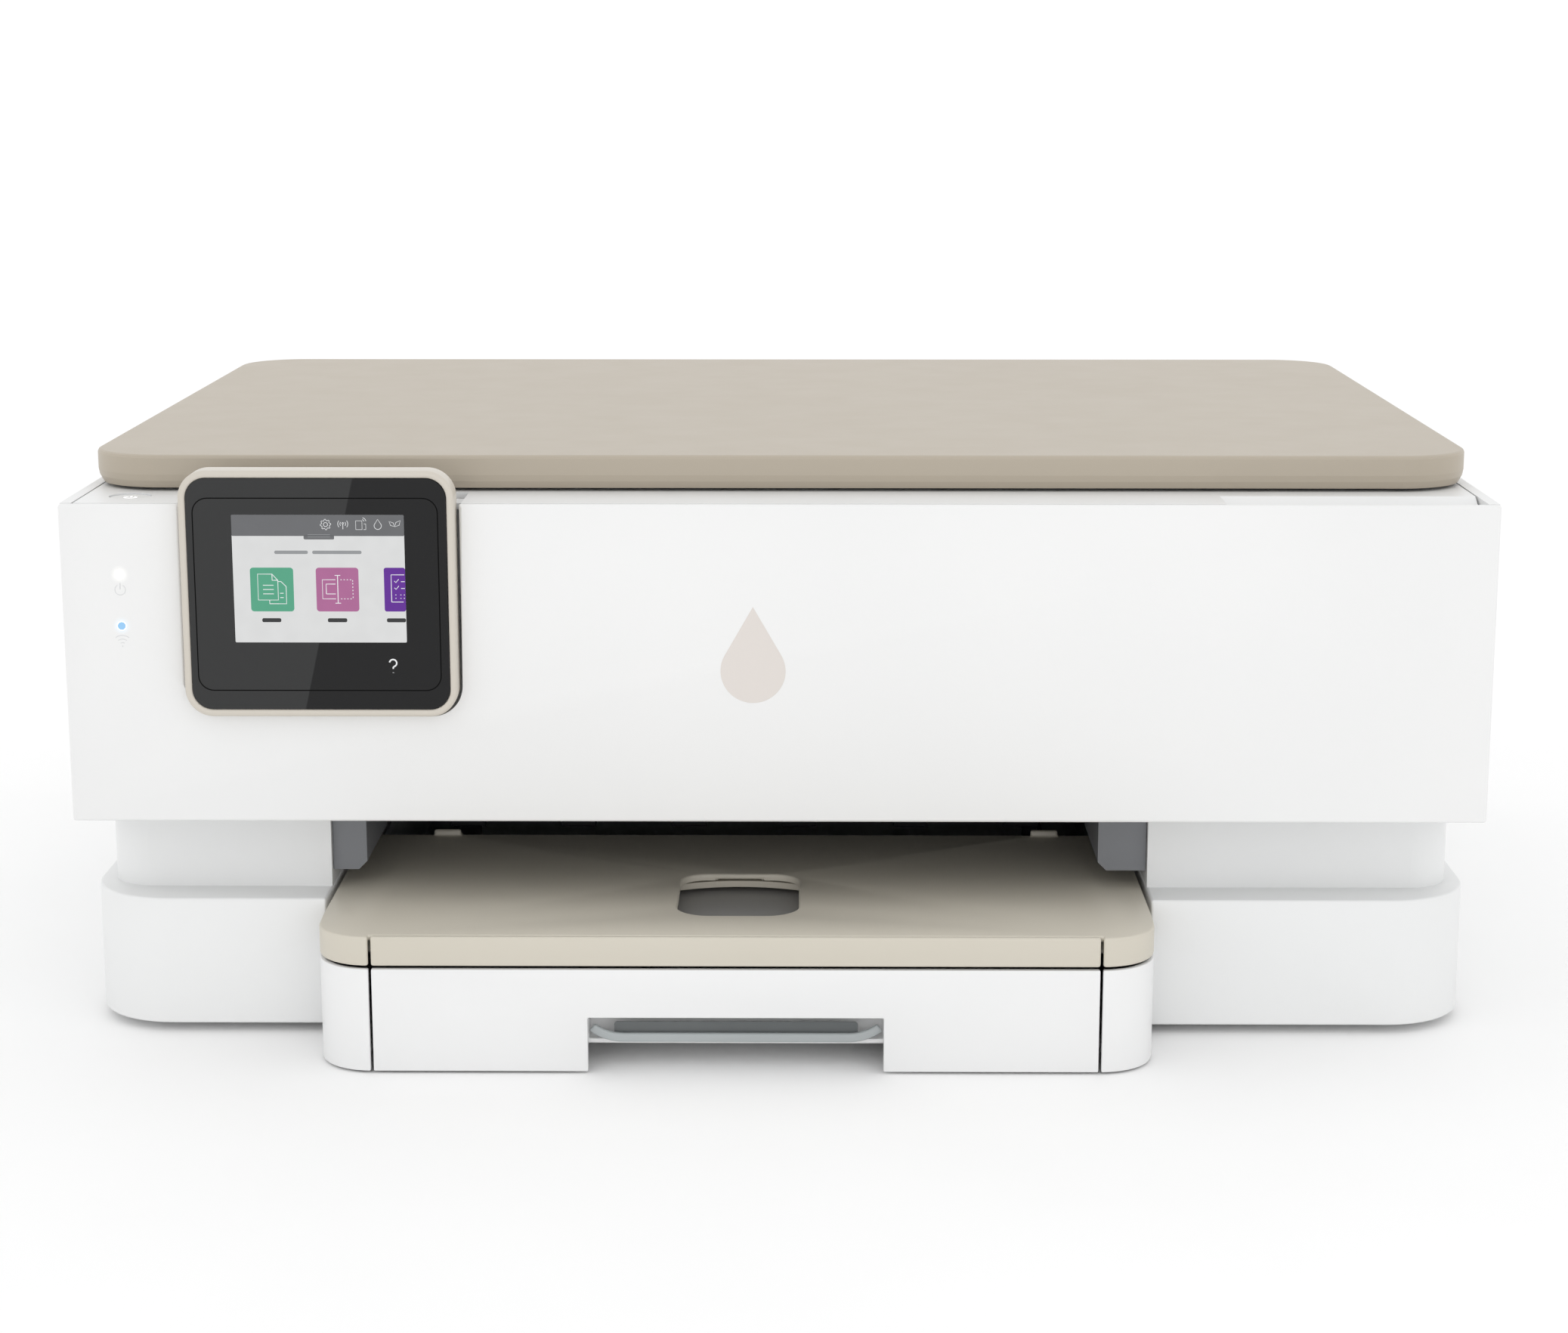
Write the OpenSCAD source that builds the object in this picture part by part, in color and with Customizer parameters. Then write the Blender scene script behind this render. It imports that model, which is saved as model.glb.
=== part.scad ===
// Multifunction inkjet printer: a white casing with an overhanging front door, a taupe
// document lid, a tilting touch panel, a sliding paper tray and the print engine inside.
// X runs to the printer's right, Y to its rear and Z up. The origin lies on the surface
// that the feet stand on, under the middle of the whole machine.

/* [Casing] */
// Width of the casing
body_w = 460.5; // [450:0.5:470]
// Depth from the paper tray's face to the rear cover
body_d = 383.5; // [380:0.5:388]
// Height of the rubber feet
foot_h = 2.9; // [2.5:0.1:3.2]
// Height of the ledge on the base
ledge_z = 46.1; // [45.8:0.1:46.4]
// Height of the overhang's lower edge
overhang_z = 74.2; // [74:0.1:74.4]
// Height of the shelf round the lid
deck_z = 178.6; // [178.2:0.1:179]
// Radius of the base's upright front corners
base_corner_r = 28; // [20:1:34]
// Thickness of the moulded walls
wall = 2.4; // [2:0.1:2.6]

/* [Lid] */
// Height of the lid's top face
lid_top_z = 190.6; // [190:0.1:192]
// Distance from the front door's face back to the lid
lid_setback = 28; // [26:0.5:30]
// Radius of the lid's corners
lid_corner_r = 24; // [18:1:30]

/* [Control panel] */
// Width of the touch panel
panel_w = 87.7; // [80:0.1:88]
// Height of the touch panel
panel_h = 79.8; // [78:0.1:80]
// Thickness of the panel's rim
panel_rim = 2.4; // [2:0.1:3]

/* [Paper tray] */
// Distance the tray stands out in front of the door
tray_reach = 33.75; // [30:0.25:36]
// Half the width of the tray
tray_half = 134.6; // [133:0.1:135]
// Height of the tray's face
tray_top_z = 34.6; // [34:0.1:35]
// Height of the output plate's top face
plate_z = 45.2; // [44.8:0.1:45.5]

/* [Print engine] */
// Radius of the feed roller
feed_r = 8; // [7:0.5:8]
// Teeth on the feed gear
feed_teeth = 42; // [42]
// Radius of the carriage rod
rod_r = 5; // [4:0.5:6]

/* [Hidden] */
$fn = 48;
hw = body_w / 2;
y_tray = -body_d / 2;
y_back = body_d / 2;
y_door = y_tray + tray_reach;
y_base = y_door + 7;
y_neck = y_door + 22;
y_lid = y_door + lid_setback;
y_lid_back = 174;
neck_half = hw - 5.55;
y_neck_back = 182;
neck_top = 150;
cover_t = 2.2;
cover_rim = 3.6;
door_t = 2.5;
fit = 0.05;
// middle of the paper path, off the casing's middle
path_x = -13.5;
bay_half = 136.35;
bay_l = path_x - bay_half;
bay_r = path_x + bay_half;
tray_back = 130;
bay_back = tray_back + 4;
paper_turn = [146, 42];
slit_half = 116.8;
// axes: [y, z]
door_axis = [y_door + 5.5, overhang_z + 3.8];
door_pin_r = 1.25;
door_knuckle_r = 2.6;
door_sweep_r = 4.85;
lid_axis = [184, deck_z + 4.4];
panel_axis = [y_door + 9.5, 172];
rear_door_axis = [y_back - 1.2, 69];
exit_axis = [-50, 52.5];
feed_axis = [18, 52.5];
idler_axis = [-18, 52.5];
star_axis = [-50, 66.3];
pickup_axis = [78, 50];
// motor pinion: five feed-gear teeth round from straight back
pinion_turn = 5 * 360 / feed_teeth;
pinion_axis = feed_axis + 27 * [cos(pinion_turn), sin(pinion_turn)];
gear_x = -176;
gear_w = 6;
rail_l = -212;
rail_r = 215;
rod_axis = [24, 100];
pulley_z = 121;
pulley_l = -200;
pulley_r = 205;
belt_in = 6.25;
belt_t = 0.8;
car_l = 132;
car_w = 66;
panel_l = -190.8;
panel_r = panel_l + panel_w;
panel_top = 190.2;
panel_t = 8.5;
button_x = -211;
lens_x = -211.4;
lens_z = [139.1, 155.9];
panel_bot = panel_top - panel_h;
panel_y = y_door - 5.5;
guide_y = 16;
rack_step = PI;
head_x = -178;
glass = [-171, 141, -96, 131];

// a box between two corners, given as ranges along each axis
module block(x, y, z) {
    translate([x[0], y[0], z[0]]) cube([x[1] - x[0], y[1] - y[0], z[1] - z[0]]);
}

// a plan outline with one radius at the front corners and one at the back
module plan(x, y, rf, rb) {
    w = x[1] - x[0];
    translate([x[0], y[0] + rf]) square([w, y[1] - y[0] - rf - rb]);
    translate([x[0] + rf, y[0]]) square([w - 2 * rf, rf + 1]);
    translate([x[0] + rb, y[1] - rb - 1]) square([w - 2 * rb, rb + 1]);
    for (sx = [x[0] + rf, x[1] - rf]) translate([sx, y[0] + rf]) circle(r = rf);
    for (sx = [x[0] + rb, x[1] - rb]) translate([sx, y[1] - rb]) circle(r = rb);
}

module slab(x, y, z, rf, rb) {
    translate([0, 0, z[0]]) linear_extrude(z[1] - z[0]) plan(x, y, rf, rb);
}

// an outline in X and Z, drawn through a range of Y
module face_slab(x, z, y, r) {
    translate([0, y[1], 0]) rotate([90, 0, 0]) linear_extrude(y[1] - y[0]) plan(x, z, r, r);
}

// round bar along X, at [y, z]
module bar_x(x, at, r) {
    translate([x[0], at[0], at[1]]) rotate([0, 90, 0]) cylinder(h = x[1] - x[0], r = r);
}

// round bar along Y, at [x, z]
module bar_y(y, at, r) {
    translate([at[0], y[0], at[1]]) rotate([-90, 0, 0]) cylinder(h = y[1] - y[0], r = r);
}

// a profile in Y and Z, drawn through a range of X
module side_profile(x, points) {
    translate([x[0], 0, 0]) rotate([90, 0, 90]) linear_extrude(x[1] - x[0]) polygon(points);
}

// a spur gear of module 1, with one tooth at the angle first
module gear_2d(teeth, first) {
    pitch = teeth / 2;
    circle(r = pitch - 1.15);
    for (i = [0:teeth - 1]) rotate(first + i * 360 / teeth)
        polygon([[pitch - 1.5, -0.85], [pitch + 0.8, -0.38], [pitch + 0.8, 0.38], [pitch - 1.5, 0.85]]);
}

module gear_x_axis(at, teeth, first, bore) {
    translate([gear_x, at[0], at[1]]) rotate([90, 0, 90]) linear_extrude(gear_w) difference() {
        gear_2d(teeth, first);
        circle(r = bore);
    }
}

// ---- fixed casing ----
module lower_base() {
    color("whitesmoke") difference() {
        slab([-hw + 0.25, hw - 0.25], [y_base, y_back], [foot_h, ledge_z], base_corner_r, 12);
        difference() {
            union() {
                slab([-hw + 0.25 + wall, hw - 0.25 - wall], [y_base + wall, y_back - wall],
                    [foot_h + wall, ledge_z - wall], base_corner_r - wall, 12 - wall);
                slab([-neck_half + wall, neck_half - wall], [y_neck + wall, y_neck_back - wall],
                    [ledge_z - wall - 1, ledge_z + 1], 14 - wall, 10 - wall);
            }
            block([bay_l - wall, bay_r + wall], [y_base - 9, bay_back + wall], [0, 60]);
        }
        block([bay_l, bay_r], [y_base - 9, bay_back], [foot_h + 2, 60]);
        block([bay_l + 4, bay_r - 4], [bay_back - 1, bay_back + wall + 1], [22, 60]);
        block([-207, -183], [y_back - 5, y_back + 1], [12, 34]);
        block([160, 175], [y_back - 5, y_back + 1], [14, 28]);
    }
}

module mid_housing() {
    color("white") {
        difference() {
            slab([-neck_half, neck_half], [y_neck, y_neck_back], [ledge_z, neck_top], 14, 10);
            slab([-neck_half + wall, neck_half - wall], [y_neck + wall, y_neck_back - wall],
                [ledge_z - 1, neck_top + 1], 14 - wall, 10 - wall);
            block([bay_l, bay_r], [y_neck - 1, y_neck + wall + 1], [ledge_z - 1, 72]);
            block([-92, 212], [y_neck - 1, y_neck + wall + 1], [80, 146]);
            block([-112, 86], [y_neck_back - wall - 1, y_neck_back + 1], [66, 145]);
        }
        for (x = [bay_l - wall, bay_r]) difference() {
            block([x, x + wall], [y_neck + 1, bay_back + wall], [ledge_z, 74.4]);
            block([x - 1, x + wall + 1], [-46, 34], [61, 80]);
            bar_x([x - 1, x + wall + 1], exit_axis, 3 + fit);
            bar_x([x - 1, x + wall + 1], feed_axis, 3.5 + fit);
            bar_x([x - 1, x + wall + 1], star_axis, 1.5 + fit);
            bar_x([x - 1, x + wall + 1], pickup_axis, 3 + fit);
        }
        // stub axle of the idler gear
        bar_x([gear_x - 2, bay_l - wall], idler_axis, 3);
        // ears that hold the front door's hinge pins
        for (side = [-1, 1], x = [199, 210.2]) difference() {
            union() {
                bar_x(side > 0 ? [x, x + 3.3] : [-x - 3.3, -x], door_axis, door_knuckle_r);
                block(side > 0 ? [x, x + 3.3] : [-x - 3.3, -x], [door_axis[0], y_neck],
                    [door_axis[1] - door_knuckle_r, door_axis[1] + door_knuckle_r]);
            }
            bar_x([side * x - 4, side * x + 4], door_axis, door_pin_r);
        }
        // floor of the overhang, behind the door's lower edge
        block([-neck_half + 0.4, neck_half - 0.4], [y_door + 11, y_neck], [overhang_z, overhang_z + 1.8]);
    }
}

module side_cover(side) {
    color("whitesmoke") mirror([side > 0 ? 1 : 0, 0, 0]) difference() {
        union() {
            block([-hw, -hw + cover_t], [y_door + door_t + 0.3, y_back - cover_t - 0.1],
                [overhang_z, deck_z]);
            block([-hw, -neck_half - 0.3], [y_door + door_t + 0.3, y_back - cover_t - 0.1],
                [overhang_z, overhang_z + 2]);
            block([-hw, -hw + cover_rim], [y_door + door_t + 0.3, y_back - cover_t - 0.1], [deck_z - 3, deck_z]);
            for (y = [-110, 0, 110]) block([-hw + 1, -neck_half], [y, y + 3], [96, 140]);
        }
        // room for the door's lower corner to turn
        bar_x([-hw - 1, -neck_half + 1], door_axis, door_sweep_r + 0.35);
        block([-hw - 1, -neck_half + 1], [y_door, door_axis[0]],
            [overhang_z - 1, door_axis[1] + door_sweep_r + 0.35]);
    }
}

module left_side_cover() {
    side_cover(-1);
}

module right_side_cover() {
    side_cover(1);
}

module rear_cover() {
    color("whitesmoke") difference() {
        union() {
            block([-hw, hw], [y_back - cover_t, y_back], [ledge_z + 0.3, deck_z]);
            for (x = [-205, 205], z = [62, 140]) bar_y([y_neck_back, y_back - 1], [x, z], 5);
        }
        block([-112, 86], [y_back - 4, y_back + 1], [65.6, 146]);
        for (x = [-113.3, 85.9]) bar_x([x, x + 1.4], rear_door_axis, 1.2 + fit);
        for (x = [-205, 205], z = [62, 140]) {
            bar_y([y_back - 1.6, y_back + 1], [x, z], 3.4);
            bar_y([y_neck_back - 1, y_back], [x, z], 1.6);
        }
        for (i = [0:7]) block([112, 176], [y_back - 4, y_back + 1], [92 + i * 6, 94.5 + i * 6]);
    }
}

module scanner_deck() {
    ear_x = [143, 152.4];
    bed = [glass[0] - 0.4, glass[1] + 0.4];
    bed_y = [glass[2] - 0.4, glass[3] + 0.4];
    color("white") difference() {
        union() {
            block([-hw + cover_rim + 0.7, hw - cover_rim - 0.7],
                [y_door + door_t + 0.3, y_back - cover_t - 0.3], [deck_z - 2, deck_z]);
            difference() {
                slab([-neck_half, neck_half], [y_neck, y_neck_back], [neck_top, deck_z - 1], 14, 10);
                slab([-neck_half + wall, neck_half - wall], [y_neck + wall, y_neck_back - wall],
                    [neck_top - 1, deck_z + 1], 14 - wall, 10 - wall);
            }
            block([bed[0] - 4, bed[1] + 4], [bed_y[0] - 4, bed_y[1] + 4], [deck_z - 5.2, deck_z - 1]);
            // pocket behind the door's edge, where a finger pulls the door open
            block([141, hw - cover_rim - 0.7], [y_door + door_t + 0.3, y_door + 22], [deck_z - 12, deck_z - 1]);
            for (side = [-1, 1], x = ear_x)
                block(side > 0 ? [x, x + 4.6] : [-x - 4.6, -x], [179.6, 188.4], [deck_z - 1, lid_axis[1]]);
            for (side = [-1, 1], x = ear_x)
                bar_x(side > 0 ? [x, x + 4.6] : [-x - 4.6, -x], lid_axis, 4.4);
        }
        block(bed, bed_y, [deck_z - 3.2, deck_z + 1]);
        block([bed[0] + 5, bed[1] - 5], [bed_y[0] + 5, bed_y[1] - 5], [deck_z - 9, deck_z]);
        block([panel_l - 1.6, panel_r + 1.4], [y_door, y_lid - 1], [deck_z - 3, deck_z + 1]);
        translate([button_x, y_door + 18.5, deck_z - 5.5]) cylinder(h = 7, r = 6.9);
        side_profile([143, hw - cover_rim + 1], [[y_door + 20, deck_z + 1], [y_door + 20, deck_z],
            [y_door + 2, deck_z - 8.5], [y_door + 2, deck_z + 1]]);
        for (side = [-1, 1]) bar_x([side * 150 - 9, side * 150 + 9], lid_axis, 2);
    }
}

module scanner_tub() {
    color("dimgray") difference() {
        block([-190, 165], [-112, 148], [neck_top - 2, deck_z - 3.4]);
        block([-188, 163], [-110, 146], [neck_top, deck_z]);
    }
}

module scanner_glass() {
    color("lightcyan") block([glass[0], glass[1]], [glass[2], glass[3]], [deck_z - 3.2, deck_z - 0.2]);
}

module scan_rod() {
    color("silver") bar_x([-188, 163], [18, 153.5], 3);
}

module panel_bracket() {
    color("gainsboro") {
        block([panel_l - 1, panel_r + 0.8], [y_neck - 2.5, y_neck], [128, deck_z - 1.3]);
        for (x = [[panel_l - 1, -179], [-114, panel_r + 0.8]])
            block(x, [y_neck - 10, y_neck], [deck_z - 3.3, deck_z - 1.3]);
        for (x = [[-186, -179], [-114, -107]]) difference() {
            union() {
                bar_x(x, panel_axis, 3.5);
                block(x, [panel_axis[0], y_neck], [panel_axis[1] - 3.5, panel_axis[1] + 3.5]);
            }
            bar_x([x[0] - 1, x[1] + 1], panel_axis, 1.75);
        }
    }
}

module hinge_pins() {
    color("silver") {
        for (side = [-1, 1]) {
            bar_x(side > 0 ? [199, 213.5] : [-213.5, -199], door_axis, door_pin_r);
            bar_x(side > 0 ? [143, 157] : [-157, -143], lid_axis, 2);
        }
        bar_x([-186, -107], panel_axis, 1.75);
    }
}

module rubber_feet() {
    color("dimgray") for (x = [-200, 200], y = [-112, 160]) translate([x, y, 0]) cylinder(h = foot_h, r = 8);
}

module case_screws() {
    color("silver") for (x = [-205, 205], z = [62, 140]) difference() {
        union() {
            bar_y([y_back - 1.6, y_back - 0.3], [x, z], 3.2);
            bar_y([y_neck_back, y_back - 1], [x, z], 1.5);
        }
        bar_y([y_back - 1, y_back], [x, z], 1.1);
    }
}

// ---- electrics ----
module main_board() {
    color("green") {
        block([132, 221], [40, 170], [12, 13.6]);
        block([150, 178], [70, 98], [13.6, 15.6]);
        block([186, 200], [60, 90], [13.6, 15]);
        for (y = [48, 112, 128, 144]) block([204, 216], [y, y + 9], [13.6, 21]);
        for (x = [140, 154, 168]) translate([x, 150, 13.6]) cylinder(h = 12, r = 4);
        for (x = [136, 217], y = [45, 165]) translate([x, y, foot_h + wall]) cylinder(h = 12 - foot_h - wall, r = 3);
    }
}

module power_supply() {
    color("dimgray") {
        block([-218, -166], [58, 168], [foot_h + wall, 52]);
        for (i = [0:7]) block([-214, -170], [66 + i * 12, 72 + i * 12], [52, 53.2]);
    }
}

module power_inlet() {
    color("black") difference() {
        union() {
            block([-207, -183], [y_back - 20, y_back], [12, 34]);
            block([-209, -181], [y_back - 5, y_back - wall], [10, 36]);
        }
        difference() {
            block([-204, -186], [y_back - 17, y_back + 1], [16, 30]);
            for (x = [-199, -191]) bar_y([y_back - 18, y_back - 4], [x, 23], 1.2);
        }
    }
}

module usb_port() {
    color("silver") {
        difference() {
            block([161.5, 173.5], [y_back - 17, y_back - 0.3], [15.5, 26.5]);
            block([162.3, 172.7], [y_back - 15, y_back + 1], [16.3, 25.7]);
        }
        block([164.8, 170.2], [y_back - 15, y_back - 5], [19.2, 22.8]);
    }
}

// ---- front door ----
module front_door() {
    gap = 1;
    notch = [panel_l - gap, panel_r + gap];
    color("whitesmoke") difference() {
        union() {
            block([-hw, hw], [y_door, y_door + door_t], [overhang_z, deck_z]);
            for (side = [-1, 1]) intersection() {
                bar_x(side > 0 ? [hw - cover_t, hw] : [-hw, cover_t - hw], door_axis, door_sweep_r);
                block([-hw, hw], [y_door + 1, y_neck], [overhang_z, deck_z]);
            }
            for (x = [-216, -60, 10, 80, 136]) block([x, x + 1.4], [y_door + 1, y_door + 7], [overhang_z + 1, 150]);
            for (x = [[203, 209.5], [-209.5, -203]]) {
                bar_x(x, door_axis, door_knuckle_r);
                block(x, [y_door + 1, door_axis[0]],
                    [door_axis[1] - door_knuckle_r, door_axis[1] + door_knuckle_r]);
            }
        }
        face_slab(notch, [panel_bot - gap, 230], [y_door - 1, y_door + door_t + 1], 10);
        for (x = [[202, 211], [-211, -202]]) bar_x(x, door_axis, door_pin_r + fit);
        for (z = lens_z) bar_y([y_door - 1, y_door + 5], [lens_x, z], 1.5);
    }
}

module indicator_lenses() {
    color("lightblue") for (z = lens_z) bar_y([y_door, y_door + 3.5], [lens_x, z], 1.5);
}

// ---- control panel ----
module panel_frame() {
    seat = panel_rim;
    color("tan") difference() {
        face_slab([panel_l, panel_r], [panel_bot, panel_top], [panel_y, panel_y + panel_t], 9);
        face_slab([panel_l + seat, panel_r - seat], [panel_bot + seat, panel_top - seat],
            [panel_y - 1, panel_y + 1.8], 6.6);
        face_slab([panel_l + 4.8, panel_r - 4.8], [panel_bot + 4.8, panel_top - 4.8],
            [panel_y - 1, panel_y + 12], 4.2);
    }
}

module touch_glass() {
    edge = panel_rim + 0.1;
    color("black") face_slab([panel_l + edge, panel_r - edge], [panel_bot + edge, panel_top - edge],
        [panel_y + 0.3, panel_y + 1.8], 6.5);
}

module display_module() {
    color("gray") block([-178, -116], [panel_y + 1.8, panel_y + 5.5], [131.5, 178]);
}

module panel_back() {
    barrel = [-177.5, -115.5];
    color("gainsboro") difference() {
        union() {
            face_slab([panel_l + 4.9, panel_r - 4.9], [panel_bot + 4.9, panel_top - 4.9],
                [panel_y + 6, panel_y + panel_t - 0.2], 4.1);
            bar_x(barrel, panel_axis, 4);
            block(barrel, [panel_y + panel_t - 1, panel_axis[0]], [panel_axis[1] - 4, panel_axis[1] + 4]);
        }
        bar_x([barrel[0] - 1, barrel[1] + 1], panel_axis, 1.75 + fit);
    }
}

// ---- document lid ----
// the lid's closed form: a bevelled, rounded edge carried round four corners and four sides
module lid_form() {
    r = lid_corner_r;
    x = hw - 2;
    y = [y_lid, y_lid_back];
    // [inset, height] up the edge, from the underside to the top face
    edge = [[1.6, deck_z + 1.1], [0.4, deck_z + 3.4], [0, deck_z + 5.5], [0, lid_top_z - 1.1],
        [0.35, lid_top_z - 0.35], [1.1, lid_top_z]];
    last = len(edge) - 1;
    for (cx = [r - x, x - r], cy = [y[0] + r, y[1] - r]) translate([cx, cy, 0]) rotate_extrude()
        polygon(concat([[0, edge[0][1]]], [for (e = edge) [r - e[0], e[1]]], [[0, lid_top_z]]));
    translate([0, y[1] - r, 0]) rotate([90, 0, 0]) linear_extrude(y[1] - y[0] - 2 * r)
        polygon(concat([for (e = edge) [x - e[0], e[1]]],
            [for (i = [last:-1:0]) [edge[i][0] - x, edge[i][1]]]));
    side_profile([r - x, x - r], concat([for (e = edge) [y[1] - e[0], e[1]]],
        [for (i = [last:-1:0]) [y[0] + edge[i][0], edge[i][1]]]));
}

module lid_shell() {
    color("tan") difference() {
        lid_form();
        slab([-hw + 6, hw - 6], [y_lid + 4, y_lid_back - 4], [deck_z, lid_top_z - 2.2],
            lid_corner_r - 4, lid_corner_r - 4);
        for (x = [-152.5, 147.5]) block([x, x + 5], [165, 180], [deck_z, deck_z + 7.5]);
    }
}

module lid_inner() {
    low = deck_z + 2.8;
    color("whitesmoke") difference() {
        union() {
            slab([-hw + 6.3, hw - 6.3], [y_lid + 4.3, y_lid_back - 4.3], [low, low + 2],
                lid_corner_r - 4.3, lid_corner_r - 4.3);
            for (x = [-180:60:180]) block([x - 0.7, x + 0.7], [y_lid + 8, y_lid_back - 8], [low, lid_top_z - 2.2]);
            for (side = [-150, 150]) {
                block([side - 1.8, side + 1.8], [164, lid_axis[0]], [low, lid_axis[1] + 2]);
                bar_x([side - 1.8, side + 1.8], lid_axis, 3.9);
            }
        }
        for (side = [-150, 150]) bar_x([side - 3, side + 3], lid_axis, 2 + fit);
    }
}

module lid_pad() {
    color("white") block([glass[0] - 7, glass[1] + 7], [glass[2] - 7, glass[3] + 7], [deck_z + 0.4, deck_z + 2.8]);
}

module scan_head() {
    color("black") difference() {
        union() {
            block([head_x, head_x + 20], [-104, 140], [158, 170.6]);
            block([head_x, head_x + 20], [11, 25], [150.3, 158]);
            block([head_x + 7, head_x + 13], [-98, 134], [170.6, 171.6]);
        }
        bar_x([head_x - 1, head_x + 21], [18, 153.5], 3 + fit);
    }
}

module power_button() {
    color("white") translate([button_x, y_door + 18.5, 0]) {
        translate([0, 0, deck_z - 3.6]) cylinder(h = 3.1, r = 6.5);
        translate([0, 0, deck_z - 9]) cylinder(h = 6, r = 3);
    }
}

module rear_access_door() {
    color("whitesmoke") {
        block([-111.6, 85.6], [y_back - cover_t, y_back], [66.4, 145.6]);
        for (x = [-112.9, 85.6]) bar_x([x, x + 1.3], rear_door_axis, 1.2);
        block([-30, 4], [y_back - cover_t - 4, y_back - cover_t], [138, 140]);
    }
}

// ---- print engine, fixed pieces ----
module engine_deck() {
    color("black") block([-212, 212], [y_neck + wall + 0.3, -56], [74.6, 76.6]);
}

module output_guides() {
    color("slategray") {
        difference() {
            block([bay_l + 0.2, bay_l + 11.5], [y_neck + wall + 0.3, -60], [51.2, 74.6]);
            translate([bay_l + 11.5, 0, 51.2]) rotate([0, 45, 0]) cube([4, 400, 4], center = true);
        }
        difference() {
            block([bay_r - 16.3, bay_r - 0.2], [y_neck + wall + 0.3, -60], [51.2, 74.6]);
            translate([bay_r - 16.3, 0, 51.2]) rotate([0, 45, 0]) cube([4, 400, 4], center = true);
        }
    }
}

module platen() {
    color("dimgray") {
        block([bay_l, bay_r], [-40, 8], [54, 57]);
        block([-128, 101], [-40, 8], [57, 58.6]);
        for (i = [0:22]) block([path_x - 110 + i * 10 - 0.6, path_x - 110 + i * 10 + 0.6], [-38, 6], [58, 60]);
    }
}

module rear_paper_guide() {
    half = 111.5;
    color("dimgray") {
        difference() {
            bar_x([path_x - half, path_x + half], paper_turn, 28);
            bar_x([path_x - half - 1, path_x + half + 1], paper_turn, 26);
            block([path_x - half - 2, path_x + half + 2], [paper_turn[0] - 40, paper_turn[0] + 2], [0, 90]);
        }
        for (i = [0:8]) difference() {
            bar_x([path_x - 110.5 + i * 27, path_x - 109.1 + i * 27], paper_turn, 31);
            bar_x([path_x - half - 1, path_x + half + 1], paper_turn, 27);
            block([path_x - half - 2, path_x + half + 2], [paper_turn[0] - 40, paper_turn[0] + 4], [0, 90]);
        }
    }
}

module carriage_rail() {
    color("silver") difference() {
        union() {
            block([rail_l, rail_r], [36, 37.6], [88, 138]);
            block([rail_l, rail_r], [29, 37.6], [136.4, 138]);
            block([rail_l, rail_l + 1.6], [12, 37.6], [88, 138]);
            block([rail_r - 1.6, rail_r], [12, 37.6], [88, 138]);
            bar_y([25, 37], [pulley_l, pulley_z], 1.5);
        }
        bar_x([rail_l - 1, rail_r + 1], rod_axis, rod_r);
        bar_y([35, 39], [pulley_r, pulley_z], 4);
    }
}

module carriage_rod() {
    color("silver") bar_x([rail_l, rail_r], rod_axis, rod_r);
}

module carriage_motor() {
    color("gray") {
        bar_y([37.6, 70], [pulley_r, pulley_z], 14);
        bar_y([25, 38], [pulley_r, pulley_z], 1.5);
    }
}

module feed_motor() {
    color("gray") {
        bar_x([gear_x - 38, gear_x - 3], pinion_axis, 15);
        difference() {
            block([gear_x - 3, gear_x - 1.5], [21, 58], [53, 88]);
            bar_x([gear_x - 4, gear_x - 1], feed_axis, 23);
        }
        bar_x([gear_x - 3, gear_x + gear_w + 1], pinion_axis, 1.5);
        for (z = [58, 70]) bar_x([gear_x - 3, bay_l - wall], [54, z], 2.5);
    }
}

module drive_belt() {
    color("black") translate([0, 32.2, 0]) rotate([90, 0, 0]) linear_extrude(5.2) difference() {
        union() {
            for (x = [pulley_l, pulley_r]) translate([x, pulley_z]) circle(r = belt_in + belt_t);
            translate([pulley_l, pulley_z - belt_in - belt_t])
                square([pulley_r - pulley_l, 2 * (belt_in + belt_t)]);
        }
        for (x = [pulley_l, pulley_r]) translate([x, pulley_z]) circle(r = belt_in);
        translate([pulley_l, pulley_z - belt_in]) square([pulley_r - pulley_l, 2 * belt_in]);
    }
}

module service_station() {
    color("dimgray") difference() {
        union() {
            block([130, 200], [-44, 20], [foot_h + wall, 57]);
            for (x = [138, 170]) block([x, x + 22], [-40, -18], [57, 61]);
            block([162.4, 163.6], [-40, -14], [57, 61]);
        }
        for (x = [140, 172]) block([x, x + 18], [-38, -20], [59, 62]);
        block([134, 196], [-8, 16], [40, 58]);
    }
}

// ---- paper tray ----
module paper_tray() {
    x = [path_x - tray_half, path_x + tray_half];
    t = 2.2;
    color("whitesmoke") difference() {
        union() {
            difference() {
                slab(x, [y_tray, tray_back], [6, tray_top_z], 18, 4);
                slab([x[0] + t, x[1] - t], [y_tray + t, tray_back - t], [8, 40], 18 - t, 4 - t);
                block([x[0] + 12, x[1] - 12], [tray_back - 6, tray_back + 1], [16, 40]);
            }
            difference() {
                slab(x, [y_tray, tray_back], [0.6, 6], 18, 4);
                slab([x[0] + t, x[1] - t], [y_tray + t, tray_back - t], [0, 7], 18 - t, 4 - t);
                block([x[0] - 1, x[1] + 1], [y_base - 2.5, tray_back + 1], [0, 6]);
            }
            translate([path_x, guide_y, 7]) cylinder(h = 3.4, r = 2);
        }
        block([path_x - slit_half, path_x + slit_half], [y_tray - 1, y_tray + 12], [0, 40]);
    }
}

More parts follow.
